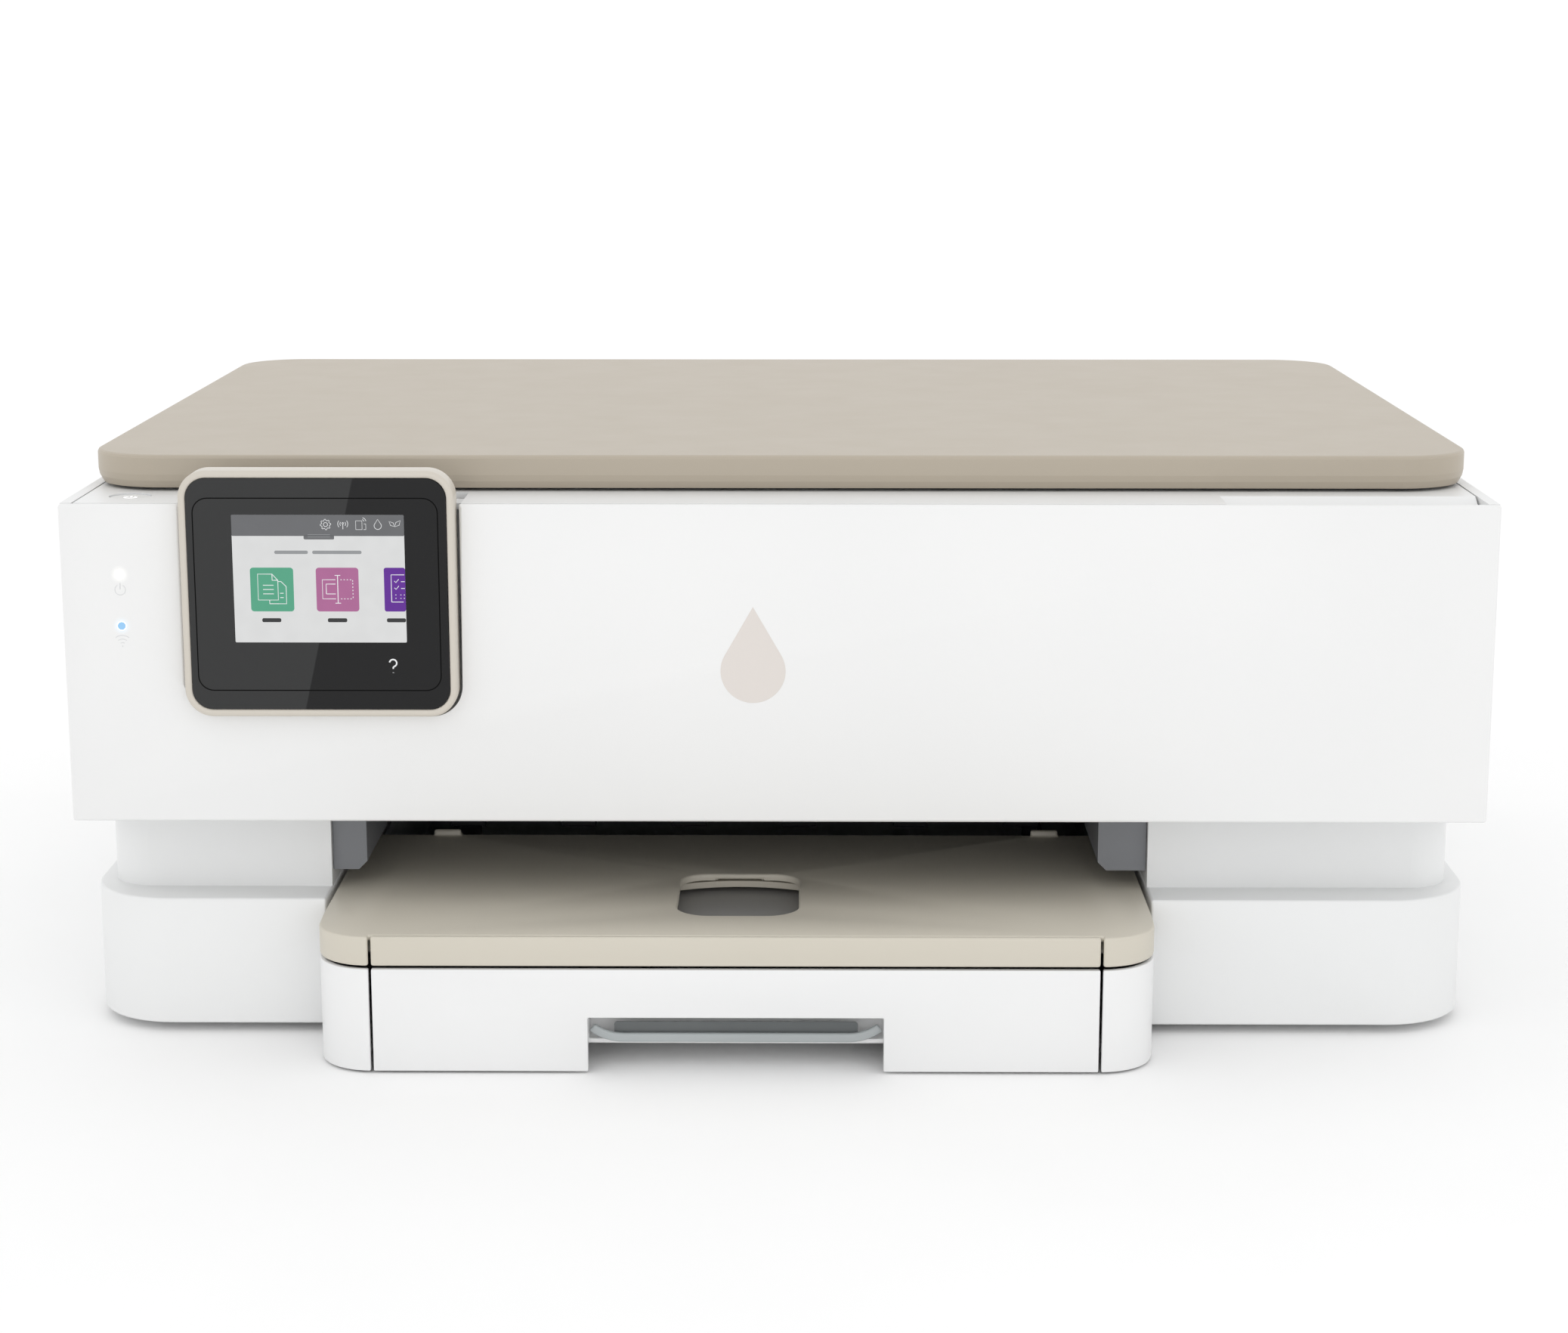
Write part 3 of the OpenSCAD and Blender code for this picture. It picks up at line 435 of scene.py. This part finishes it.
rounded_copy("panel_frame", "touch_panel", frame_paint, 0.0009, frame_front, least=0.0005)
dress("panel_back", shade_white)
dress("display_module", plated_steel("display_tray", (0.5, 0.5, 0.5), (0.4, 0.4, 0.4), 0.4))

# Painted reflection: the glass's base colour is lighter left of a slanted line about 36 mm in from
# its left edge, and darker right of it. The lighter part stands for the reflected edge of a bright
# light.
reflection_edge_lean = 0.2283
smoked = bpy.data.materials.new("smoked_glass")
smoked.use_nodes = True
tree = smoked.node_tree
skin = tree.nodes["Principled BSDF"]
place = tree.nodes.new("ShaderNodeTexCoord")
reflection_slant = tree.nodes.new("ShaderNodeVectorMath")
reflection_slant.operation = "DOT_PRODUCT"
reflection_slant.inputs[1].default_value = (1.0, 0.0, -reflection_edge_lean)
tree.links.new(place.outputs["Object"], reflection_slant.inputs[0])
split_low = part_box("touch_glass")[0]
reflection_edge_at = split_low[0] + 0.036 - reflection_edge_lean * split_low[2]
side = from_to(tree, reflection_slant.outputs["Value"], 0.0, 1.0, reflection_edge_at, reflection_edge_at + 0.0004)
smoke_and_painted_reflection = two_tone(tree, side, (0.03, 0.0305, 0.031), (0.008, 0.008, 0.0085), 0.0, 1.0)
tree.links.new(smoke_and_painted_reflection, skin.inputs["Base Color"])
smear = cloud(tree, place, 40, 4)
tree.links.new(from_to(tree, smear, 0.07, 0.14), skin.inputs["Roughness"])
relief(tree, skin, cloud(tree, place, 25, 1), 0.00002, 0.05)
skin.inputs["Specular IOR Level"].default_value = 0.25
dress("touch_glass", smoked)


def flat_plate(name, x, z, level, corner, body, finish, thick=0.03):
    """A thin plate with rounded corners, in millimetres, facing forwards at a depth of level."""
    hold_none()
    middle = ((x[0] + x[1]) / 2000, level / 1000, (z[0] + z[1]) / 2000)
    bpy.ops.mesh.primitive_plane_add(size=1, location=middle, rotation=(math.pi / 2, 0, 0))
    piece = bpy.context.object
    piece.name = name
    piece.scale = ((x[1] - x[0]) / 1000, (z[1] - z[0]) / 1000, 1)
    bpy.ops.object.transform_apply(location=True, rotation=True, scale=True)
    bpy.ops.object.mode_set(mode="EDIT")
    bpy.ops.mesh.select_all(action="SELECT")
    if corner:
        bpy.ops.mesh.bevel(offset=corner / 1000, segments=8, affect="VERTICES")
        bpy.ops.mesh.select_all(action="SELECT")
    bpy.ops.mesh.extrude_region_move(TRANSFORM_OT_translate={"value": (0, -thick / 1000, 0)})
    bpy.ops.mesh.select_all(action="SELECT")
    bpy.ops.mesh.normals_make_consistent(inside=False)
    bpy.ops.object.mode_set(mode="OBJECT")
    piece.data.materials.append(finish)
    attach(piece, body)
    return piece


# the fine line round the lit zone: a rounded plate, inset, with its middle taken out
glass_left, glass_y, glass_foot = (1000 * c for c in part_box("touch_glass")[0])
line_ink = moulded_plastic("line_ink", (0.002, 0.002, 0.002), (0.003, 0.003, 0.003), 0.5, gloss=0.05)
zone_x = (glass_left + 1.9, glass_left + 80.2)
zone_z = (glass_foot + 6, glass_foot + 68.7)
zone_line = flat_plate(
    "zone_line", zone_x, zone_z,
    level=glass_y, corner=5, body="touch_panel", finish=line_ink, thick=0.02,
)
open_faces(zone_line, lambda normal: abs(normal.y) > 0.9)
bpy.ops.mesh.inset(thickness=0.00036)
bpy.ops.mesh.delete(type="FACE")
bpy.ops.mesh.select_mode(type="EDGE")
bpy.ops.mesh.select_all(action="DESELECT")
bpy.ops.mesh.select_non_manifold()
bpy.ops.mesh.bridge_edge_loops()
bpy.ops.mesh.select_all(action="SELECT")
bpy.ops.mesh.normals_make_consistent(inside=False)
bpy.ops.object.mode_set(mode="OBJECT")

# ---- Display picture ----
# The lit picture on the display: a grey bar of status symbols, two plain bars for the clock, and
# three coloured tiles, the last of which runs off the edge. All symbols are generic.
lcd_x, lcd_z = (14.4, 69.3), (21.9, 63.2)
page = lit("display_page", (0.735, 0.74, 0.74), 0.95, (0.01, 0.01, 0.01), 0.15)
bar = lit("status_bar", (0.144, 0.147, 0.155), 0.95, (0.01, 0.01, 0.01), 0.15)
white_ink = lit("white_ink", (0.86, 0.87, 0.88), 0.95, (0.02, 0.02, 0.02), 0.2)
grey_ink = lit("grey_ink", (0.3, 0.31, 0.32), 0.95, (0.02, 0.02, 0.02), 0.2)
dark_ink = lit("dark_ink", (0.03, 0.031, 0.033), 0.95, (0.01, 0.01, 0.01), 0.2)
green = lit("green_tile", (0.09, 0.385, 0.24), 0.95, (0.01, 0.01, 0.01), 0.15)
magenta = lit("magenta_tile", (0.43, 0.14, 0.31), 0.95, (0.01, 0.01, 0.01), 0.15)
purple = lit("purple_tile", (0.12, 0.016, 0.31), 0.95, (0.01, 0.01, 0.01), 0.15)


def picture(name, x, z, layer, corner, ink):
    """A flat area of the picture, in millimetres from the glass's lower left corner."""
    x = [glass_left + u for u in x]
    z = [glass_foot + v for v in z]
    flat_plate(name, x, z, glass_y - 0.03 * layer, corner, "touch_panel", ink)


def drawing(name, strokes, width, ink):
    """Lines of the picture, in millimetres from the glass's lower left corner."""
    placed = [[(glass_left + u, glass_foot + v) for u, v in stroke] for stroke in strokes]
    line_art(name, placed, width, (glass_y - 0.06) / 1000, "touch_panel", ink)


picture("display_page", lcd_x, lcd_z, 0, 0.4, page)
picture("status_bar", lcd_x, (56.4, 63.2), 1, 0.3, bar)
picture("status_tab", (37.3, 47), (55.3, 56.7), 1, 0.4, bar)
picture("clock_bar_left", (27.8, 38.5), (50.6, 51.7), 1, 0.5, grey_ink)
picture("clock_bar_right", (39.9, 55.6), (50.6, 51.7), 1, 0.5, grey_ink)
picture("tile_green", (19.8, 33.6), (32, 46.2), 1, 1.0, green)
picture("tile_magenta", (40.8, 54.4), (32, 46.2), 1, 1.0, magenta)
picture("tile_purple", (62.5, 69.3), (32, 46.2), 1, 0.7, purple)
picture("label_left", (23.2, 29.3), (28.5, 29.8), 1, 0.5, dark_ink)
picture("label_middle", (44.2, 50.4), (28.5, 29.8), 1, 0.5, dark_ink)
picture("label_right", (63.1, 69.2), (28.5, 29.8), 1, 0.5, dark_ink)

cog = []
for i in range(33):
    out = 1.7 if i % 4 in (0, 1) else 1.3
    t = math.radians(i * 360 / 32)
    cog.append((44.4 + out * math.cos(t), 60.1 + out * math.sin(t)))
cog[-1] = cog[0]
ring = arc(44.4, 60.1, 0.65, 0, 360)
ring[-1] = ring[0]
mast = [[(49.9, 58.6), (49.9, 60.3)], arc(49.9, 60.5, 0.25, 0, 350)]
for reach in (0.9, 1.6):
    mast += [arc(49.9, 60.3, reach, -40, 40, 8), arc(49.9, 60.3, reach, 140, 220, 8)]
device = [[(54.0, 58.5), (56.0, 58.5), (56.0, 61.3), (54.0, 61.3), (54.0, 58.5)]]
device += [[(56.6, 60.3), (57.2, 60.3), (57.2, 58.5), (56.5, 58.5)]]
device += [arc(56.0, 61, r, 10, 80, 6) for r in (0.7, 1.3)]
tear = [(61.0, 61.8)] + arc(61.0, 59.7, 1.15, 20, -200, 20) + [(61.0, 61.8)]
leaf = [(64.6, 61.1), (66.0, 60.6), (66.3, 59.5), (65.1, 59.8), (64.6, 61.1)]
leaf_two = [(68.2, 61.4), (66.8, 60.8), (66.4, 59.4), (67.8, 59.9), (68.2, 61.4)]
tab_lines = [[(38.6, 56.8), (45.7, 56.8)], [(38.6, 56.1), (45.7, 56.1)]]
status = [cog, ring, tear, leaf, leaf_two] + mast + device
drawing("status_symbols", status, 0.19, white_ink)
drawing("tab_lines", tab_lines, 0.18, grey_ink)

sheets = [[(22.2, 35.7), (28.6, 35.7), (28.6, 42.1), (26.8, 44.1), (22.2, 44.1), (22.2, 35.7)]]
sheets += [[(26.8, 44.1), (26.8, 42.1), (28.6, 42.1)]]
sheets += [[(23.8, z), (27.2, z)] for z in (37.7, 39.1, 40.5)]
sheets += [[(28.6, 34.5), (25.8, 34.5), (25.8, 35.7)], [(25.8, 34.5), (31.2, 34.5), (31.2, 40.1)]]
sheets += [[(31.2, 40.1), (29.6, 41.7), (28.6, 41.7)]]
sheets += [[(29.2, z), (30.3, z)] for z in (36.5, 37.9)]
scan = [[(46.8, 34.7), (48.6, 34.7)], [(46.8, 43.7), (48.6, 43.7)], [(47.7, 34.7), (47.7, 43.7)]]
scan += [[(47.0, 36.1), (42.8, 36.1), (42.8, 42.3), (47.0, 42.3)], [(44.0, 37.7), (47.0, 37.7)]]
scan += [[(44.0, 37.7), (44.0, 40.9), (47.0, 40.9)]]
scan += [[(x, z), (x + 0.45, z)] for x in (48.6, 49.6, 50.6, 51.6) for z in (36.1, 42.3)]
scan += [[(52.5, z), (52.5, z + 0.45)] for z in (36.4, 37.5, 38.6, 39.7, 40.8, 41.7)]
ticks = [[(64.8, 35.1), (68.6, 35.1)], [(64.8, 35.1), (64.8, 43.9), (69.0, 43.9)]]
ticks += [[(65.8, z), (66.3, z - 0.5), (67.2, z + 0.6)] for z in (41.9, 39.7)]
ticks += [[(x, z), (x + 0.35, z)] for x in (66.0, 67.6, 68.7) for z in (37.4, 36.3)]
ticks += [[(67.9, z), (69.1, z)] for z in (41.7, 39.5)]
drawing("tile_symbols", sheets + scan + ticks, 0.26, white_ink)
query = [arc(64.7, 15.2, 1.15, 170, -60, 20) + [(64.7, 13.8), (64.7, 13.3)]]
query += [[(64.7, 12.1), (64.7, 12)]]
drawing("help_symbol", query, 0.55, white_ink)

# ---- Paper tray and its sliding front ----
# A deep white moulding runs under the machine on the base's floor. Its corners are rounded
# upright and underneath. The middle of its face is a separate slide with a hand notch. A grey
# lip with upturned ends stands behind the notch. Above it, a dark grey plate is painted shade
# for the shadowed inside of the grip.
tray_white = moulded_plastic("tray_white", (0.815, 0.817, 0.817), (0.8, 0.803, 0.804), 0.4)


def tray_edge(a, b):
    return a.y < -0.15 and b.y < -0.15


rounded_copy("paper_tray", "tray", tray_white, 0.0005, tray_edge, least=0.0004, steps=2)


def front_edge(a, b):
    return a.y < -0.1915 and b.y < -0.1915


rounded_copy("tray_front", "tray_extension", tray_white, 0.0005, front_edge, steps=2)
grip_grey = moulded_plastic("grip_grey", (0.4, 0.43, 0.435), (0.36, 0.385, 0.39), 0.35)
grip_mid, grip_half, grip_turn = -0.0135, 0.0362, 0.0175
face_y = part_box("tray_front")[0][1]
grip_y, grip_z = (face_y + 0.0038, face_y + 0.0058), (0.0092, 0.0121)
hold_none()
grip_middle = (grip_mid, (grip_y[0] + grip_y[1]) / 2, sum(grip_z) / 2)
bpy.ops.mesh.primitive_cube_add(size=1, location=grip_middle)
grip = bpy.context.object
grip.name = "tray_grip"
grip.scale = (2 * grip_half, grip_y[1] - grip_y[0], grip_z[1] - grip_z[0])
bpy.ops.object.transform_apply(location=True, rotation=True, scale=True)
for side in (-1, 1):
    open_faces(grip, lambda normal: normal.x * side > 0.9)
    bpy.ops.mesh.spin(
        steps=9, angle=side * math.radians(38), axis=(0, 1, 0),
        center=(grip_mid + side * grip_half, 0, grip_z[0] + grip_turn),
    )
    bpy.ops.mesh.select_all(action="DESELECT")
    bpy.ops.object.mode_set(mode="OBJECT")
hold(grip)
bpy.ops.object.mode_set(mode="EDIT")
bpy.ops.mesh.select_all(action="SELECT")
bpy.ops.mesh.remove_doubles(threshold=0.00001)
bpy.ops.mesh.normals_make_consistent(inside=False)
bpy.ops.object.mode_set(mode="OBJECT")
soften = grip.modifiers.new("edge", "BEVEL")
soften.width, soften.segments = 0.0006, 3
bpy.ops.object.modifier_apply(modifier="edge")
bpy.ops.object.shade_smooth_by_angle(angle=math.radians(35))
grip.data.materials.append(grip_grey)
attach(grip, "tray_extension")
# Painted shade: the dark grey plate behind the lip stands for the shadow inside the grip's hollow.
grip_painted_shade = moulded_plastic("grip_painted_shade", (0.13, 0.14, 0.142), (0.11, 0.12, 0.122), 0.5)
shade_plate_x = [1000 * (grip_mid + side * grip_half * 1.08) for side in (-1, 1)]
flat_plate(
    "grip_shade_plate", shade_plate_x, (10.5, 15.5),
    level=1000 * grip_y[1] + 0.4, corner=1, body="tray_extension",
    finish=grip_painted_shade, thick=0.3,
)

# ---- Output plate and its extender ----
# The plate that catches the prints is a taupe moulding with a thumb hole. The extender slides
# out from under it, and its face fills the plate's lip between the two slits.
plate_taupe = moulded_plastic(
    "plate_taupe", (0.61, 0.572, 0.49), (0.6, 0.562, 0.48),
    rough=0.42, grit=1000, depth=0.00005, amount=0.25,
)


def plate_edge(a, b):
    return a.y < -0.186 and b.y < -0.186 or a.z > 0.045 and b.z > 0.045 and a.y < -0.1 and b.y < -0.1


rounded_copy("output_plate", "tray", plate_taupe, 0.0008, plate_edge, least=0.0004, steps=3)


def lip_edge(a, b):
    return a.y < -0.189 and b.y < -0.189


rounded_copy("output_extender", "plate_extension", plate_taupe, 0.0008, lip_edge, steps=3)

# ---- Paper guides in the tray ----
# Grey acetal guides grip the paper's sides and end. The side guides share a rack and pinion,
# so they close towards the middle together.
guide_grey = moulded_plastic("guide_grey", (0.2, 0.21, 0.225), (0.175, 0.185, 0.2), 0.4)
for guide in ("width_guide_left", "width_guide_right", "guide_pinion", "length_guide"):
    dress(guide, guide_grey)

# ---- Slot frame: output guides, engine deck, platen and rear paper guide ----
# Dark glass-filled mouldings carry the paper past the print head. The two blocks beside the
# output slot are lighter grey, with a bevel along their lower inner edges.
block_grey = moulded_plastic(
    "block_grey", (0.2, 0.207, 0.222), (0.185, 0.192, 0.207),
    rough=0.48, grit=800, depth=0.00006, amount=0.3,
)
slot_black = moulded_plastic(
    "slot_black", (0.012, 0.012, 0.013), (0.02, 0.02, 0.021),
    rough=0.5, grit=700, depth=0.00008, amount=0.35,
)
dress("output_guides", block_grey)
# Painted shade: the slide floor is given a mid grey that stands for the shadowed floor seen through
# the output plate's thumb hole.
slide_floor_shade_grey = moulded_plastic("slide_floor_painted_shade", (0.42, 0.415, 0.405), (0.39, 0.385, 0.375), 0.5)
dress("slide_floor", slide_floor_shade_grey)
dress("engine_deck", slot_black)
dress("platen", slot_black)
dress("rear_paper_guide", block_grey)
dress("service_station", block_grey)
dress("rear_access_door", casing_white)

# ---- Rollers, star wheels and gear train ----
# The paper is moved by rubber-coated rollers on steel shafts. Moulded gears join them to the
# motor's brass pinion, and thin spiked wheels hold the wet print down without marking it.
roller_rubber = moulded_plastic(
    "roller_rubber", (0.045, 0.045, 0.047), (0.03, 0.03, 0.031),
    rough=0.7, grit=1600, depth=0.0001, amount=0.6, gloss=0.3,
)
for roller in ("feed_roller", "exit_roller", "pickup_roller"):
    dress(roller, roller_rubber)
acetal = moulded_plastic("gear_acetal", (0.78, 0.75, 0.66), (0.74, 0.7, 0.61), 0.35)
dress("idler_gear", acetal)
brass = plated_steel("pinion_brass", (0.75, 0.55, 0.24), (0.62, 0.44, 0.18), 0.28)
dress("motor_pinion", brass)
dress("star_wheels", plated_steel("star_steel", (0.62, 0.62, 0.63), (0.5, 0.5, 0.51), 0.3))

# ---- Carriage, cartridges and latch ----
# The black carriage rides on a ground steel rod, held by a bent rail. Each tank has a paper
# label of plain colour bands on its front and a handle on top, and one latch clips both down.
dress("carriage", slot_black)
dress("cartridge_latch", guide_grey)
tank_black = moulded_plastic("tank_black", (0.015, 0.015, 0.016), (0.025, 0.025, 0.026), 0.35)
tank_blue = moulded_plastic("tank_blue", (0.02, 0.05, 0.2), (0.03, 0.06, 0.22), 0.35)
dress("black_cartridge", tank_black)
dress("color_cartridge", tank_blue)
label_paper = moulded_plastic("label_paper", (0.8, 0.8, 0.79), (0.75, 0.75, 0.74), 0.5)
cyan = moulded_plastic("label_cyan", (0.02, 0.35, 0.6), (0.02, 0.32, 0.56), 0.4)
pink = moulded_plastic("label_pink", (0.6, 0.03, 0.22), (0.56, 0.03, 0.2), 0.4)
yellow = moulded_plastic("label_yellow", (0.75, 0.6, 0.04), (0.7, 0.56, 0.04), 0.4)
carriage_body = "print_carriage"
flat_plate(
    "black_label", (139.5, 158.3), (92, 102),
    level=-41.2, corner=0.8, body=carriage_body, finish=label_paper, thick=0.1,
)
flat_plate(
    "color_label", (171.7, 190.5), (92, 102),
    level=-41.2, corner=0.8, body=carriage_body, finish=label_paper, thick=0.1,
)
for i, ink in enumerate((cyan, pink, yellow)):
    x = 173 + i * 5.6
    flat_plate(
        "color_band_%d" % i, (x, x + 4.6), (94.5, 99.5),
        level=-41.32, corner=0.4, body=carriage_body, finish=ink, thick=0.08,
    )

# ---- Rail, rod, belt and motors ----
# The rail is folded zinc-plated sheet. The rod is ground and polished. A toothed rubber belt
# runs from the motor's pulley to the idler, and a clear strip of fine lines tells the position.
dress("carriage_rail", zinc)
rod_steel = plated_steel("rod_steel", (0.68, 0.68, 0.69), (0.6, 0.6, 0.61), 0.14, (0.03, 1, 1), 500)
for bar_node in ("carriage_rod", "scan_rod", "hinge_pins"):
    dress(bar_node, rod_steel)
can = plated_steel("motor_can", (0.4, 0.41, 0.42), (0.33, 0.34, 0.35), 0.33)
dress("carriage_motor", can)
dress("feed_motor", can)
dress("motor_pulley", guide_grey)
dress("idler_pulley", guide_grey)
belt = moulded_plastic(
    "belt_rubber", (0.02, 0.02, 0.021), (0.035, 0.034, 0.033),
    rough=0.6, grit=1200, depth=0.0001, amount=0.6, gloss=0.3,
)
dress("drive_belt", belt)
strip_film = moulded_plastic(
    "strip_film", (0.35, 0.36, 0.38), (0.22, 0.23, 0.25),
    rough=0.15, grit=2500, depth=0.00002, amount=0.2,
)
flat_plate(
    "position_strip", (-208, 210), (129.5, 135.0),
    level=35.4, corner=0.5, body="housing", finish=strip_film, thick=0.12,
)

# ---- Electronics and sockets ----
# The green board lies in the right-hand bay of the base and the power supply in the left one,
# each behind its socket. Copper tracks show faintly through the board's green lacquer.
lacquer = bpy.data.materials.new("board_lacquer")
lacquer.use_nodes = True
tree = lacquer.node_tree
skin = tree.nodes["Principled BSDF"]
place = tree.nodes.new("ShaderNodeTexCoord")
tracks = tree.nodes.new("ShaderNodeTexVoronoi")
tracks.distance = "CHEBYCHEV"
tracks.feature = "F1"
tracks.inputs["Scale"].default_value = 260
tree.links.new(place.outputs["Object"], tracks.inputs["Vector"])
track = tracks.outputs["Distance"]
green_tone = two_tone(tree, track, (0.02, 0.14, 0.07), (0.035, 0.2, 0.1), 0.3, 0.5)
tree.links.new(green_tone, skin.inputs["Base Color"])
tree.links.new(from_to(tree, track, 0.22, 0.35), skin.inputs["Roughness"])
relief(tree, skin, track, 0.00005, 0.3)
dress("main_board", lacquer)
dress("power_supply", slot_black)
dress("power_inlet", slot_black)
dress("usb_port", plated_steel("socket_steel", (0.6, 0.6, 0.6), (0.5, 0.5, 0.51), 0.3))

# ---- Scanner: tub, glass, scan head ----
# A black tub under the glass holds the scan head on its rod. The head carries a clear light
# guide along its top, and a white strip at the rest end sets the white level.
dress("scanner_tub", slot_black)
dress("scan_head", slot_black)
bed_glass = bpy.data.materials.new("bed_glass")
bed_glass.use_nodes = True
tree = bed_glass.node_tree
skin = tree.nodes["Principled BSDF"]
place = tree.nodes.new("ShaderNodeTexCoord")
wipe = cloud(tree, place, 20, 5, (1, 0.3, 1))
tree.links.new(from_to(tree, wipe, 0.01, 0.05), skin.inputs["Roughness"])
tree.links.new(two_tone(tree, wipe, (0.86, 0.93, 0.91), (0.9, 0.95, 0.94)), skin.inputs["Base Color"])
skin.inputs["Transmission Weight"].default_value = 1.0
skin.inputs["IOR"].default_value = 1.5
dress("scanner_glass", bed_glass)

# ---- Floor, light and camera ----
# A pale floor under an even white sky, and one weak, wide light low in front, give a white
# setting. The camera stands in front of the machine, a little above it.
hold_none()
bpy.ops.mesh.primitive_plane_add(size=60, location=(0, 0, -0.0002))
floor = bpy.context.object
floor.name = "pale_floor"
floor_paint = moulded_plastic(
    "floor_paint", (0.95, 0.95, 0.95), (0.94, 0.94, 0.94),
    rough=0.9, grit=200, depth=0.0001, amount=0.05, gloss=0.05,
)
floor.data.materials.append(floor_paint)

sky = bpy.data.worlds.new("studio_sky")
bpy.context.scene.world = sky
sky.use_nodes = True
sky.node_tree.nodes["Background"].inputs["Color"].default_value = (1.0, 1.0, 1.0, 1)
sky.node_tree.nodes["Background"].inputs["Strength"].default_value = 1.08


def soft_light(name, place, aim, size, power):
    lamp = bpy.data.lights.new(name, "AREA")
    lamp.shape = "RECTANGLE"
    lamp.size, lamp.size_y = size
    lamp.energy = power
    stand = bpy.data.objects.new(name, lamp)
    bpy.context.collection.objects.link(stand)
    stand.location = place
    stand.rotation_euler = (Vector(aim) - Vector(place)).to_track_quat("-Z", "Y").to_euler()


soft_light("low_light", (0.2, -2.2, 0.35), (0, -0.1, 0.06), (1.6, 0.5), 2.9)

lens = bpy.data.cameras.new("studio_camera")
lens.sensor_width = 36
lens.lens = 68.724
lens.shift_x = -0.00308
lens.clip_start = 0.05
camera = bpy.data.objects.new("studio_camera", lens)
bpy.context.collection.objects.link(camera)
camera.location = (0.0096, -1.1021, 0.3232)
camera.rotation_euler = (math.radians(78.205), 0, math.radians(0.386))
bpy.context.scene.camera = camera
bpy.context.scene.view_settings.view_transform = "Standard"
